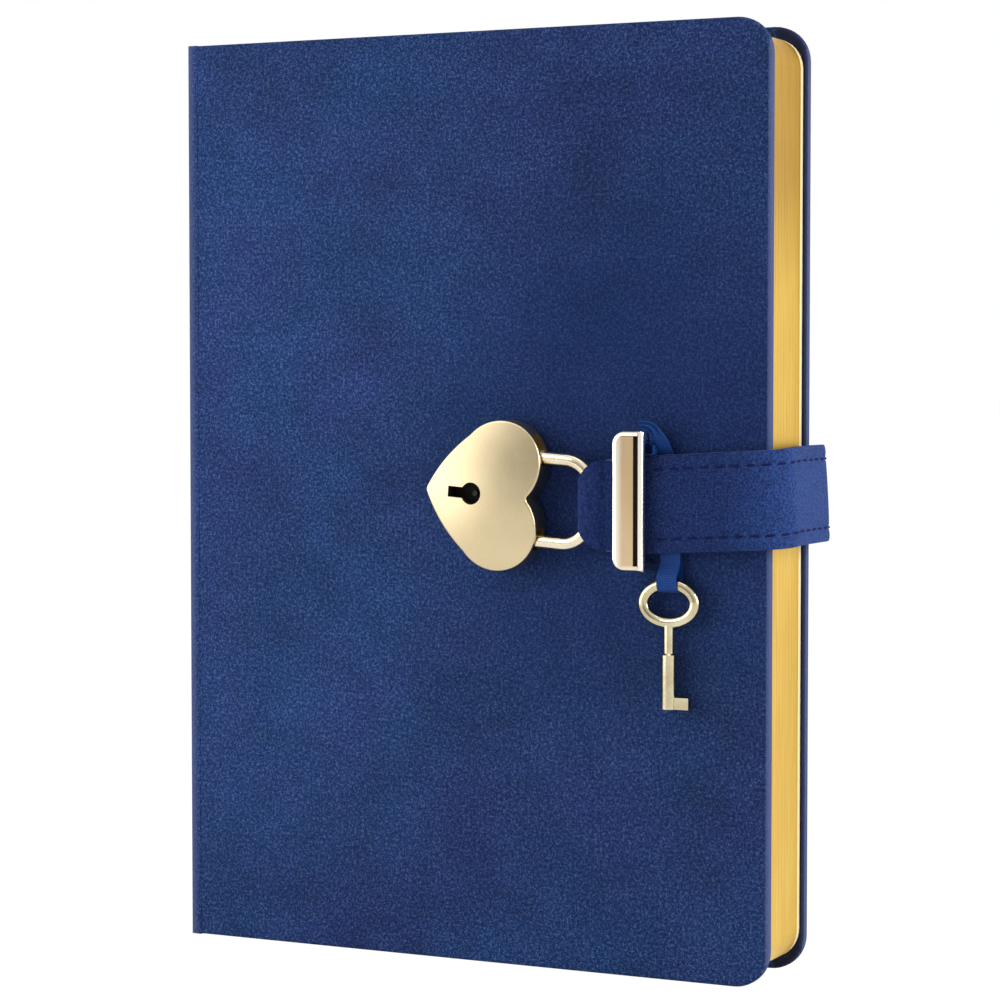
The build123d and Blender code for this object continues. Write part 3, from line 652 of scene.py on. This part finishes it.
class SheetBender:
    """Sheet grown from one rail of vertices by straight runs and turns about the rail's direction."""

    def __init__(self, rail: Sequence[Vector], heading: Vector, hinge: Vector) -> None:
        """Start a sheet.

        Args:
            rail: Points across the sheet.
            heading: Unit direction in which it grows.
            hinge: Unit direction across the sheet, which turns go about.
        """
        self.mesh = bmesh.new()
        points = [self.mesh.verts.new(p) for p in rail]
        self.row = [self.mesh.edges.new(pair) for pair in zip(points, points[1:])]
        self.tip = sum(rail, Vector()) / len(rail)
        self.heading = heading.copy()
        self.hinge = hinge.copy()

    def straight(self, length_mm: float, steps: int = 1) -> SheetBender:
        """Grow along the heading.

        Args:
            length_mm: Length of the run.
            steps: Rows in it.

        Returns:
            The bender itself.
        """
        for _ in range(steps):
            grown = bmesh.ops.extrude_edge_only(self.mesh, edges=self.row)["geom"]
            step = self.heading * (length_mm * MM / steps)
            points = [g for g in grown if isinstance(g, BMVert)]
            bmesh.ops.translate(self.mesh, vec=step, verts=points)
            self.tip += step
            self.row = [g for g in grown if isinstance(g, BMEdge)
                        and all(abs((v.co - self.tip).dot(self.heading)) < SAME for v in g.verts)]
        return self

    def turn(self, degrees: float, radius_mm: float, steps: int = 8) -> SheetBender:
        """Grow round a bend, to the left of the heading seen along the hinge for a positive angle.

        Args:
            degrees: Angle of the bend.
            radius_mm: Radius at the rail's line.
            steps: Rows in it.

        Returns:
            The bender itself.
        """
        angle = math.radians(degrees)
        aside = self.hinge.cross(self.heading) * math.copysign(radius_mm * MM, angle)
        centre = self.tip + aside
        ends = list({v for e in self.row for v in e.verts})
        grown = bmesh.ops.spin(self.mesh, geom=[*ends, *self.row], cent=centre, axis=self.hinge,
                               dvec=(0, 0, 0), angle=angle, steps=steps, use_duplicate=False)
        self.row = [g for g in grown["geom_last"] if isinstance(g, BMEdge)]
        swing = Matrix.Rotation(angle, 3, self.hinge)
        self.tip = centre + swing @ (self.tip - centre)
        self.heading = swing @ self.heading
        return self

    def follow(self, bends: Sequence[Bend]) -> SheetBender:
        """Grow through bends and the straight runs after them."""
        for bend in bends:
            self.turn(bend.degrees, bend.radius, bend.steps).straight(bend.run, bend.rows)
        return self

    def cut(self, inside: Callable[[Vector], bool]) -> SheetBender:
        """Take out the faces whose middle is inside a region."""
        gone = [f for f in self.mesh.faces if inside(f.calc_center_median())]
        bmesh.ops.delete(self.mesh, geom=gone, context="FACES")
        return self

    def facing(self, outward: Vector, near: Vector) -> SheetBender:
        """Turn the sheet's outer side outwards, as tested at the face nearest to a point."""
        bmesh.ops.remove_doubles(self.mesh, verts=self.mesh.verts, dist=1e-7)
        bmesh.ops.recalc_face_normals(self.mesh, faces=self.mesh.faces)
        probe = min(self.mesh.faces, key=lambda f: (f.calc_center_median() - near).length)
        if probe.normal.dot(outward) < 0:
            bmesh.ops.reverse_faces(self.mesh, faces=self.mesh.faces)
        return self


class Bench:
    """Where meshes become pieces of the diary."""

    def __init__(self, frame: dict[str, Any], finishes: Finishes) -> None:
        """Keep the loaded frame and the finishes."""
        self.frame = frame
        self.finish = finishes

    def dress(self, material: Material, *nodes: str) -> None:
        """Give solid pieces that stay as they are a finish."""
        for name in nodes:
            for slot in self.frame["nodes"][name].material_slots:
                slot.material = material
            LOG.info("dressed %s with %s", name, material.name)

    def piece(self, name: str, mesh: BMesh, material: Material,
              body: str | None = None, thickness: float = 0.0,
              rim: Material | None = None) -> Object:
        """Make an object of a mesh, with its thickness worked in.

        Args:
            name: The piece's name.
            mesh: Its mesh, which is freed.
            material: Its finish.
            body: The body that it rides on, if any.
            thickness: Thickness that is added inwards, in millimetres.
            rim: Finish of the edges that the thickness adds, if it differs.

        Returns:
            The object.
        """
        data = bpy.data.meshes.new(name)
        mesh.to_mesh(data)
        mesh.free()
        data.materials.append(material)
        made = bpy.data.objects.new(name, data)
        bpy.context.scene.collection.objects.link(made)
        if thickness:
            wall = made.modifiers.new("wall", "SOLIDIFY")
            wall.thickness, wall.offset, wall.use_even_offset = thickness * MM, -1.0, True
            if rim:
                data.materials.append(rim)
                wall.material_offset_rim = 1
            bpy.context.view_layer.update()
            shaped = made.evaluated_get(bpy.context.evaluated_depsgraph_get())
            settled = bpy.data.meshes.new_from_object(shaped)
            made.modifiers.clear()
            made.data = settled
            bpy.data.meshes.remove(data)
            settled.name = name
        for polygon in made.data.polygons:
            polygon.use_smooth = True
        made.data.set_sharp_from_angle(angle=SHARP)
        if body:
            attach(made, body)
        LOG.info("made %s with %d faces", name, len(made.data.polygons))
        return made


@dataclass
class BookCase:
    """Covers, spine, end papers, bands and leaves, which keep their solid shapes."""

    bench: Bench
    sections: int = 10

    def build(self) -> None:
        """Dress every piece of the book."""
        finish, dress = self.bench.finish, self.bench.dress
        dress(finish.cover, "front_cover_leather", "back_cover_leather", "spine_leather")
        dress(finish.board, "front_board", "back_board", "spine_board")
        dress(finish.end_paper, "front_pastedown", "back_pastedown", "front_flyleaf", "back_flyleaf")
        dress(finish.mull, "spine_lining")
        dress(finish.band, "head_band", "tail_band")
        dress(finish.leaves, *[f"section_{n:02d}" for n in range(1, self.sections + 1)])


@dataclass
class Strap:
    """Stitched strap from its slotted end under the keeper, round the fore-edge, to its tail behind."""

    bench: Bench
    end_u: float = 112.5
    slot: Triple = (113.8, 117.4, 8.9)
    front_bend_u: float = 145.35
    front_radius: float = 7.0
    side_run: float = 18.4
    side_rows: int = 8
    back_radius: float = 4.8
    back_bend_u: float = 147.55
    tail_u: float = 102.5
    tilt_u: float = 116.6
    rise: float = 0.4
    rise_depth: float = 12.0
    tilt: float = math.radians(-3.3)
    outer_lift: float = 3.0
    face: float = 1.1
    lining: float = 0.9
    layer_gap: float = 0.01
    centre_z: float = 105.1
    half_width: float = 10.75
    stitch_inset: float = 3.1
    stitch_pitch: float = 3.6
    stitch_size: Triple = (2.35, 0.4, 0.52)
    stitch_from_u: float = 121.4
    probe_u: float = 130.0
    fold: tuple[Span, Span] = ((0.49, 0.09), (3.45, 0.61))
    profile: tuple[Span, ...] = (
        (10.75, -0.36), (10.57, -0.13), (10.1, 0.0), (9.5, 0.06), (8.9, 0.06), (8.05, -0.05),
        (7.65, -0.16), (7.25, -0.05), (6.7, 0.06), (4.0, 0.13), (0.0, 0.15))

    @property
    def back(self) -> float:
        """Lift of the tail's face."""
        return self.outer_lift - self.front_radius - self.side_run - self.back_radius

    @property
    def seam(self) -> float:
        """Lift at which the two runs meet on the fore-edge."""
        return self.back + self.back_radius + self.side_run / self.side_rows

    def _band(self, inset: float, shaped: float, run: Run) -> SheetBender:
        """Grow one layer's outer side.

        Args:
            inset: Depth of that side under the strap's face.
            shaped: How much of the face's stitched profile the layer has.
            run: The run that is kept.

        Returns:
            The sheet.
        """
        half = [(z, dip * shaped) for z, dip in self.profile]
        across = [(-z, dip) for z, dip in half] + [(z, dip) for z, dip in reversed(half[:-1])]
        lift = self.outer_lift - inset
        rail = [at(self.end_u, lift + dip, self.centre_z + z) for z, dip in across]
        sheet = SheetBender(rail, Vector((1, 0, 0)), Vector((0, 0, 1)))
        left, right, half_slot = self.slot
        level = at(0, lift, 0).y
        sheet.tip = Vector((rail[0].x, level, self.centre_z * MM))
        sheet.straight(left - self.end_u, 2).straight(right - left)
        sheet.straight(self.front_bend_u - right, 12)
        sheet.turn(90, self.front_radius - inset, 12).straight(self.side_run, self.side_rows)
        sheet.turn(90, self.back_radius - inset, 10).straight(self.back_bend_u - self.tail_u, 14)
        low, high = at(left, 0, self.centre_z - half_slot), at(right, 0, self.centre_z + half_slot)
        sheet.cut(lambda p: low.x < p.x < high.x and low.z < p.z < high.z and p.y < low.y)
        seam = at(0, self.seam, 0).y
        sheet.cut(lambda p: (p.y > seam) == (run is Run.FRONT))
        if run is Run.FRONT:
            return sheet.facing(Vector((0, -1, 0)), at(self.probe_u, lift, self.centre_z))
        return sheet.facing(Vector((0, 1, 0)), at(self.probe_u, self.back + inset, self.centre_z))

    @property
    def line(self) -> tuple[Span, ...]:
        """Lengths of the face's runs and bends from the first stitch, each with its radius or 0."""
        front, back = self.front_radius, self.back_radius
        return ((self.front_bend_u - self.stitch_from_u, 0.0), (front * math.pi / 2, front),
                (self.side_run, 0.0), (back * math.pi / 2, back),
                (self.back_bend_u - self.tail_u - self.stitch_inset, 0.0))

    def _along(self, distance: float) -> Triple:
        """Place on the strap's face.

        Args:
            distance: Length along the face from the first stitch.

        Returns:
            The place from the spine, its lift, and the heading in radians.
        """
        u, lift, heading = self.stitch_from_u, self.outer_lift, 0.0
        for length, radius in self.line:
            gone = min(distance, length)
            distance -= gone
            if radius:
                ahead = heading + gone / radius
                u += radius * (math.sin(ahead) - math.sin(heading))
                lift += radius * (math.cos(ahead) - math.cos(heading))
                heading = ahead
            else:
                u += gone * math.cos(heading)
                lift -= gone * math.sin(heading)
        return u, lift, heading

    def _stitch(self, mesh: BMesh, place: Matrix) -> None:
        """Add one thread stitch to a mesh."""
        form = Matrix.Diagonal((*[size / 2 * MM for size in self.stitch_size], 1.0))
        bmesh.ops.create_uvsphere(mesh, u_segments=8, v_segments=5, radius=1.0, matrix=place @ form)

    def _stitching(self, run: Run) -> BMesh:
        """Two rows of stitches along one run, and one across the tail."""
        mesh = bmesh.new()
        row = self.half_width - self.stitch_inset
        total = sum(length for length, _ in self.line)
        for n in range(int(total / self.stitch_pitch)):
            u, lift, heading = self._along((n + 0.5) * self.stitch_pitch)
            if (lift > self.seam) != (run is Run.FRONT):
                continue
            turn = Matrix.Rotation(heading, 4, "Z")
            for side in Side:
                spot = at(u, lift, self.centre_z + side.value * row)
                self._stitch(mesh, Matrix.Translation(spot) @ turn)
        count = int(2 * row / self.stitch_pitch) if run is Run.TAIL else 0
        for n in range(count):
            z = self.centre_z - row + (n + 0.5) * 2 * row / count
            spot = at(self.tail_u + self.stitch_inset, self.back, z)
            self._stitch(mesh, Matrix.Translation(spot) @ Matrix.Rotation(math.pi / 2, 4, "Y"))
        return mesh

    def _climb(self, mesh: Mesh) -> None:
        """Let the strap keep rising a little as it goes round the fore-edge."""
        for v in mesh.vertices:
            deep = min(1.0, max(0.0, (v.co.y / MM + ORIGIN_Y + self.outer_lift) / self.rise_depth))
            v.co.z += self.rise * MM * deep * deep * (3 - 2 * deep)

    def _settle(self, made: Object, run: Run) -> None:
        """Tilt a piece as the strap lies, and let the front run follow the strap; the tail run stays in
        place.
        """
        pivot = Matrix.Translation(at(self.tilt_u, 0, self.centre_z))
        turn = pivot @ Matrix.Rotation(self.tilt, 4, "Y") @ pivot.inverted()
        made.data.transform(turn)
        self._climb(made.data)
        if run is Run.FRONT:
            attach(made, "strap")
            return
        start, end = (turn @ at(self.back_bend_u + out, self.back + up, self.centre_z)
                      for out, up in self.fold)
        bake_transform(made)

    def build(self) -> None:
        """Make the two leather layers and their stitching, run by run."""
        finish, piece = self.bench.finish, self.bench.piece
        for run in Run:
            name = run.value
            outer = self._band(0.0, 1.0, run).mesh
            face = piece(f"{name}_face_leather", outer, finish.strap, thickness=self.face,
                         rim=finish.cut_edge)
            inner = self._band(self.face + self.layer_gap, 0.0, run).mesh
            lining = piece(f"{name}_lining_leather", inner, finish.strap_lining,
                           thickness=self.lining - 2 * self.layer_gap, rim=finish.cut_edge)
            stitches = piece(f"{name}_stitching", self._stitching(run), finish.thread)
            for made in (face, lining, stitches):
                self._settle(made, run)
            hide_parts(f"{name}_face")
            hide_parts(f"{name}_lining")


@dataclass
class LockLoop:
    """Leather loop: root in the cover, doubled run under the keeper, fold round the shackle's bow."""

    bench: Bench
    centre_z: float = 105.1
    bow: Span = (107.1, 4.0)
    bend_u: float = 114.4
    flare_u: float = 111.89
    flare_deg: float = 35.3
    flare_radius: float = 3.0
    flare_run: float = 1.654
    fold_radius: float = 2.95
    run_lift: float = 4.9
    outer_bend: float = 2.1
    inner_bend: float = 0.3
    root_depth: float = 3.0
    leather: float = 0.86
    probe_u: float = 113.0
    shares: tuple[float, ...] = (-1.0, -0.97, -0.88, -0.6, -0.3, 0.0, 0.3, 0.6, 0.88, 0.97, 1.0)
    widths: tuple[Span, ...] = (
        (104.15, 5.2), (105.4, 6.5), (107.1, 8.4), (109.0, 9.6), (111.5, 10.1), (113.2, 10.1),
        (114.2, 8.0))

    def _half_width(self, u: float) -> float:
        """Half the leather's width at a distance from the spine."""
        for (u0, w0), (u1, w1) in zip(self.widths, self.widths[1:]):
            if u <= u1:
                return w0 + (w1 - w0) * max(0.0, u - u0) / (u1 - u0)
        return self.widths[-1][1]

    def _sheet(self) -> SheetBender:
        """Grow the whole loop from one root to the other."""
        root_u = self.bend_u + self.outer_bend
        rail = [at(root_u, -self.root_depth, self.centre_z + s) for s in self.shares]
        sheet = SheetBender(rail, Vector((0, -1, 0)), Vector((0, 0, -1)))
        under = self.run_lift - self.outer_bend
        flat = self.bend_u - self.flare_u
        sheet.straight(self.root_depth + under, 3).follow((
            Bend(90, self.outer_bend, 8, flat, 3),
            Bend(-self.flare_deg, self.flare_radius, 5, self.flare_run, 2),
            Bend(180 + 2 * self.flare_deg, self.fold_radius, 44, self.flare_run, 2),
            Bend(-self.flare_deg, self.flare_radius, 5, flat, 3),
            Bend(-90, self.inner_bend, 4, self.root_depth + under, 3)))
        for v in sheet.mesh.verts:
            share = v.co.z / MM - self.centre_z
            v.co.z = (self.centre_z + share * self._half_width(v.co.x / MM + ORIGIN_U)) * MM
        return sheet

    def _in_fold(self, place: Vector) -> bool:
        """Whether a place of the leather is on the fold round the bow."""
        away = place - at(*self.bow, place.z / MM)
        return away.length < (self.fold_radius + 0.01) * MM

    def build(self) -> None:
        """Make the run on the cover and the fold that turns with the shackle."""
        finish, piece = self.bench.finish, self.bench.piece
        run = self._sheet().cut(self._in_fold)
        run.facing(Vector((0, -1, 0)), at(self.probe_u, self.run_lift, self.centre_z))
        fold = self._sheet().cut(lambda p: not self._in_fold(p))
        bow_u, bow_lift = self.bow
        fold.facing(Vector((-1, 0, 0)), at(bow_u - self.fold_radius, bow_lift, self.centre_z))
        made = piece("lock_loop_leather", run.mesh, finish.loop, "front_cover", self.leather)
        turned = piece("lock_loop_fold", fold.mesh, finish.loop, "shackle", self.leather)
        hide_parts("lock_loop")


@dataclass
class KeyRibbon:
    """Satin ribbon from the keeper's upper leg, behind the strap, to the key's bow."""

    bench: Bench
    keeper_z: float = 106.2
    key_u: float = 125.1
    bow_lift: float = 2.25
    bow_z: float = 88.05
    width: float = 4.7
    gathered: float = 1.8
    crease: float = 0.5
    across: tuple[Span, ...] = ((-1.0, 1.0), (-0.5, -0.6), (0.0, 1.0), (0.5, -0.6), (1.0, 1.0))
    cloth: float = 0.3
    under_wire: float = 1.75
    fold_lift: float = 3.9
    fold_bends: tuple[Bend, ...] = (
        Bend(-90, 1.75, 8, 0.9, 2), Bend(-38, 2.2, 5, 2.2, 3), Bend(38, 2.2, 5, 5.0, 3))
    leg_start: Span = (120.2, 12.95)
    leg_lifts: tuple[float, ...] = (0.9, 1.6, 2.3, 3.0, 3.6)
    leg_run: float = 7.4
    leg_bends: tuple[Bend, ...] = (
        Bend(90, 0.5, 5, 1.95, 2), Bend(90, 0.5, 5, 8.4, 3), Bend(90, 0.7, 5, 1.6, 2))
    leg_probe: Triple = (115.0, 2.0, 17.0)
    route: tuple[Triple, ...] = (
        (118.8, 3.2, 122.85), (120.4, 3.4, 122.85), (121.7, 3.4, 122.2), (122.3, 3.1, 120.9),
        (122.7, 2.5, 119.5), (122.9, 1.5, 118.0), (123.1, 0.62, 116.5), (123.3, 0.5, 114.2),
        (123.9, 0.5, 109.5), (124.8, 0.5, 103.0), (125.1, 0.5, 96.0), (125.1, 0.42, 90.5),
        (125.1, 0.42, 87.4), (125.1, 0.9, 86.25), (125.1, 2.25, 86.2))

    def _spine_line(self) -> list[Vector]:
        """Points read from the route's smooth line."""
        curve = bpy.data.curves.new("ribbon_route", "CURVE")
        curve.dimensions, curve.resolution_u = "3D", 10
        line = curve.splines.new("NURBS")
        line.points.add(len(self.route) - 1)
        for point, place in zip(line.points, self.route):
            point.co = (*at(*place), 1.0)
        line.order_u, line.use_endpoint_u = 3, True
        holder = bpy.data.objects.new("ribbon_route", curve)
        bpy.context.scene.collection.objects.link(holder)
        bpy.context.view_layer.update()
        read = bpy.data.meshes.new_from_object(holder)
        points = [v.co.copy() for v in read.vertices]
        bpy.data.objects.remove(holder)
        bpy.data.curves.remove(curve)
        bpy.data.meshes.remove(read)
        return points

    def _strand(self, points: Sequence[Vector]) -> BMesh:
        """Flat band along points, gathered at the keeper and wide behind the strap."""
        mesh = bmesh.new()
        row: list[BMVert] = []
        last = len(points) - 1
        for n, point in enumerate(points):
            ahead = (points[min(n + 1, last)] - points[max(n - 1, 0)]).normalized()
            share = min(1.0, n / (last * 0.5))
            share = share * share * (3 - 2 * share)
            side = ahead.cross(Vector((0, 1, 0))).lerp(Vector((1, 0, 0)), share)
            side = (side - ahead * side.dot(ahead)).normalized()
            half = (self.gathered + (self.width - self.gathered) * min(1.0, 1.6 * share)) / 2 * MM
            crease = ahead.cross(side) * self.crease * MM * (1.0 - share)
            new = [mesh.verts.new(point + side * half * s + crease * c) for s, c in self.across]
            for (a, b), (c, d) in zip(zip(row, row[1:]), zip(new, new[1:])):
                mesh.faces.new((a, b, d, c))
            row = new
        return mesh

    def _fold(self) -> BMesh:
        """Front layer of the fold, from under the bow's wire up and back to the strand."""
        half = self.width / 2
        rail = [at(self.key_u + share * half, self.bow_lift, self.bow_z - self.under_wire)
                for share, _ in self.across]
        sheet = SheetBender(rail, Vector((0, -1, 0)), Vector((1, 0, 0))).follow(self.fold_bends)
        return sheet.facing(Vector((0, -1, 0)), at(self.key_u, self.fold_lift, self.bow_z)).mesh

    def _leg_turn(self) -> BMesh:
        """Turn of the ribbon round the keeper's upper leg."""
        u, up = self.leg_start
        rail = [at(u, lift, self.keeper_z + up) for lift in self.leg_lifts]
        sheet = SheetBender(rail, Vector((-1, 0, 0)), Vector((0, -1, 0)))
        sheet.straight(self.leg_run, 3).follow(self.leg_bends)
        u, lift, up = self.leg_probe
        return sheet.facing(Vector((0, 0, 1)), at(u, lift, self.keeper_z + up)).mesh

    def build(self) -> None:
        """Make the ribbon's strand, its fold in the bow and its turn round the leg."""
        satin, piece = self.bench.finish.ribbon, self.bench.piece
        points = self._spine_line()
        strand = piece("key_ribbon_strand", self._strand(points), satin, "front_cover", self.cloth)
        fold = piece("key_ribbon_fold", self._fold(), satin, "front_cover", self.cloth)
        turn = piece("key_ribbon_turn", self._leg_turn(), satin, "front_cover", self.cloth)
        self.width * MM
        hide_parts("key_ribbon")


@dataclass
class Metalwork:
    """Keeper, padlock and key, which keep their solid shapes."""

    bench: Bench

    def build(self) -> None:
        """Dress the metal pieces."""
        finish, dress = self.bench.finish, self.bench.dress
        dress(finish.lock, "lock_front_shell", "lock_back_shell", "shackle_pin", "case_rivets")
        dress(finish.wire, "shackle")
        dress(finish.keeper, "keeper")
        dress(finish.key, "key")
        dress(finish.steel, "keeper_washers")
        # The key post in the keyhole is dark with painted shade; the bolt and spring share its finish.
        dress(finish.shaded_steel, "key_post", "lock_bolt", "bolt_spring")


@dataclass(frozen=True)
class Lamp:
    """Soft square lamp: place and size in metres, power in watts, and whether metal mirrors it."""

    name: str
    place: Triple
    watts: float
    size: float = 1.0
    mirrored: bool = True


@dataclass
class Studio:
    """White floor and surroundings, soft lamps, and the camera at the picture's place."""

    camera_place: Triple = (381.3, 602.4, 137.2)
    lens: float = 107.46
    pitch_down: float = 2.70
    azimuth: float = 26.37
    lamps: tuple[Lamp, ...] = (
        Lamp("key_lamp", (-0.85, -1.2, 1.15), 7.0),
        Lamp("left_lamp", (-0.55, -0.37, 0.12), 3.1, 0.72),
        Lamp("left_fill", (-0.55, -0.37, 0.12), 3.1, 0.5, False),
        Lamp("rim_lamp", (1.4, 0.05, 0.6), 22.0),
        Lamp("top_lamp", (0.1, 0.2, 1.6), 5.0))
    aim: Triple = (0.0, 0.0, 0.105)
    soft_light: float = 0.27
    booth_front: Triple = (-0.12, -0.97, 0.16)
    booth_edge: Span = (0.72, 0.985)
    booth_grey: float = 0.4
    floor_half: float = 6.0
    floor_paint: float = 0.9
    floor_glow: float = 1.085
    floor_share: float = 0.92

    def build(self) -> None:
        """Make the studio."""
        scene = bpy.context.scene
        scene.view_settings.view_transform = "Standard"
        self._camera(scene)
        self._lamps(scene)
        self._world(scene)
        self._floor(scene)

    def _camera(self, scene: Scene) -> None:
        """Place the camera."""
        data = bpy.data.cameras.new("camera")
        data.lens, data.sensor_width, data.sensor_fit = self.lens, 36.0, "HORIZONTAL"
        data.clip_start, data.clip_end = 0.01, 50.0
        camera = bpy.data.objects.new("camera", data)
        camera.location = at(*self.camera_place)
        tilt, turn = math.radians(90 - self.pitch_down), math.radians(self.azimuth)
        camera.rotation_euler = (tilt, 0.0, turn)
        scene.collection.objects.link(camera)
        scene.camera = camera

    def _lamps(self, scene: Scene) -> None:
        """Hang the soft lamps."""
        for lamp in self.lamps:
            data = bpy.data.lights.new(lamp.name, "AREA")
            data.energy, data.shape, data.size = lamp.watts, "SQUARE", lamp.size
            hung = bpy.data.objects.new(lamp.name, data)
            hung.location = lamp.place
            hung.visible_glossy = lamp.mirrored
            way = Vector(self.aim) - Vector(lamp.place)
            hung.rotation_euler = way.to_track_quat("-Z", "Y").to_euler()
            scene.collection.objects.link(hung)

    @staticmethod
    def _seen(sheet: NodeSheet) -> Shade:
        """Mask of rays that show the surroundings: seen directly, mirrored or through glass."""
        rays = sheet.nodes.new("ShaderNodeLightPath").outputs
        direct, mirrored, through = (Shade(sheet, rays[f"Is {kind} Ray"])
                                     for kind in ("Camera", "Glossy", "Transmission"))
        return direct.either(mirrored).either(through)

    def _world(self, scene: Scene) -> None:
        """White surroundings that light the diary softly."""
        world = bpy.data.worlds.new("studio")
        world.use_nodes = True
        scene.world = world
        sheet = NodeSheet(world.node_tree)
        lit = sheet.node("ShaderNodeBackground", None,
                         {"Color": (1.0, 1.0, 1.0), "Strength": self.soft_light})
        shown = sheet.node("ShaderNodeBackground", None, {"Color": self._booth(sheet)})
        sheet.output("ShaderNodeOutputWorld", sheet.node(
            "ShaderNodeMixShader", None, {0: self._seen(sheet), 1: lit, 2: shown}))

    def _booth(self, sheet: NodeSheet) -> Shade:
        """White walls all round, with the open front of the booth greyer in what metal mirrors."""
        way = sheet.node("ShaderNodeTexCoord", out="Generated")
        front = sheet.node("ShaderNodeVectorMath", {"operation": "DOT_PRODUCT"},
                           {0: way, 1: Vector(self.booth_front).normalized()}, "Value")
        low, high = self.booth_edge
        grey = sheet.node("ShaderNodeMapRange", {"interpolation_type": "SMOOTHSTEP"},
                          {0: front, 1: low, 2: high, 3: 1.0, 4: self.booth_grey})
        direct = sheet.node("ShaderNodeLightPath", out="Is Camera Ray")
        return sheet.node("ShaderNodeMix", {"data_type": "FLOAT"}, {0: direct, 2: grey, 3: 1.0})

    def _floor(self, scene: Scene) -> None:
        """Pale floor that keeps a soft shadow."""
        mesh = bmesh.new()
        bmesh.ops.create_grid(mesh, x_segments=1, y_segments=1, size=self.floor_half)
        data = bpy.data.meshes.new("floor")
        mesh.to_mesh(data)
        mesh.free()
        floor = bpy.data.objects.new("floor", data)
        scene.collection.objects.link(floor)
        paint = bpy.data.materials.new("floor_white")
        paint.use_nodes = True
        sheet = NodeSheet(paint.node_tree)
        matt = sheet.node("ShaderNodeBsdfDiffuse", None, {"Color": (self.floor_paint,) * 3})
        glow = sheet.node("ShaderNodeEmission", None, {"Strength": self.floor_glow})
        share = self._seen(sheet) * self.floor_share
        sheet.output("ShaderNodeOutputMaterial", sheet.node(
            "ShaderNodeMixShader", None, {0: share, 1: matt, 2: glow}))
        data.materials.append(paint)


def main() -> None:
    """Build the studio and dress the diary, piece by piece."""
    logging.basicConfig(level=logging.INFO, format="%(message)s")
    for stray in list(bpy.data.objects):
        bpy.data.objects.remove(stray)
    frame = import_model()
    bench = Bench(frame, Finishes())
    Studio().build()
    for part in (KeyRibbon(bench), BookCase(bench), Strap(bench), LockLoop(bench), Metalwork(bench)):
        part.build()
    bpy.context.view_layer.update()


if __name__ == "__main__":
    main()
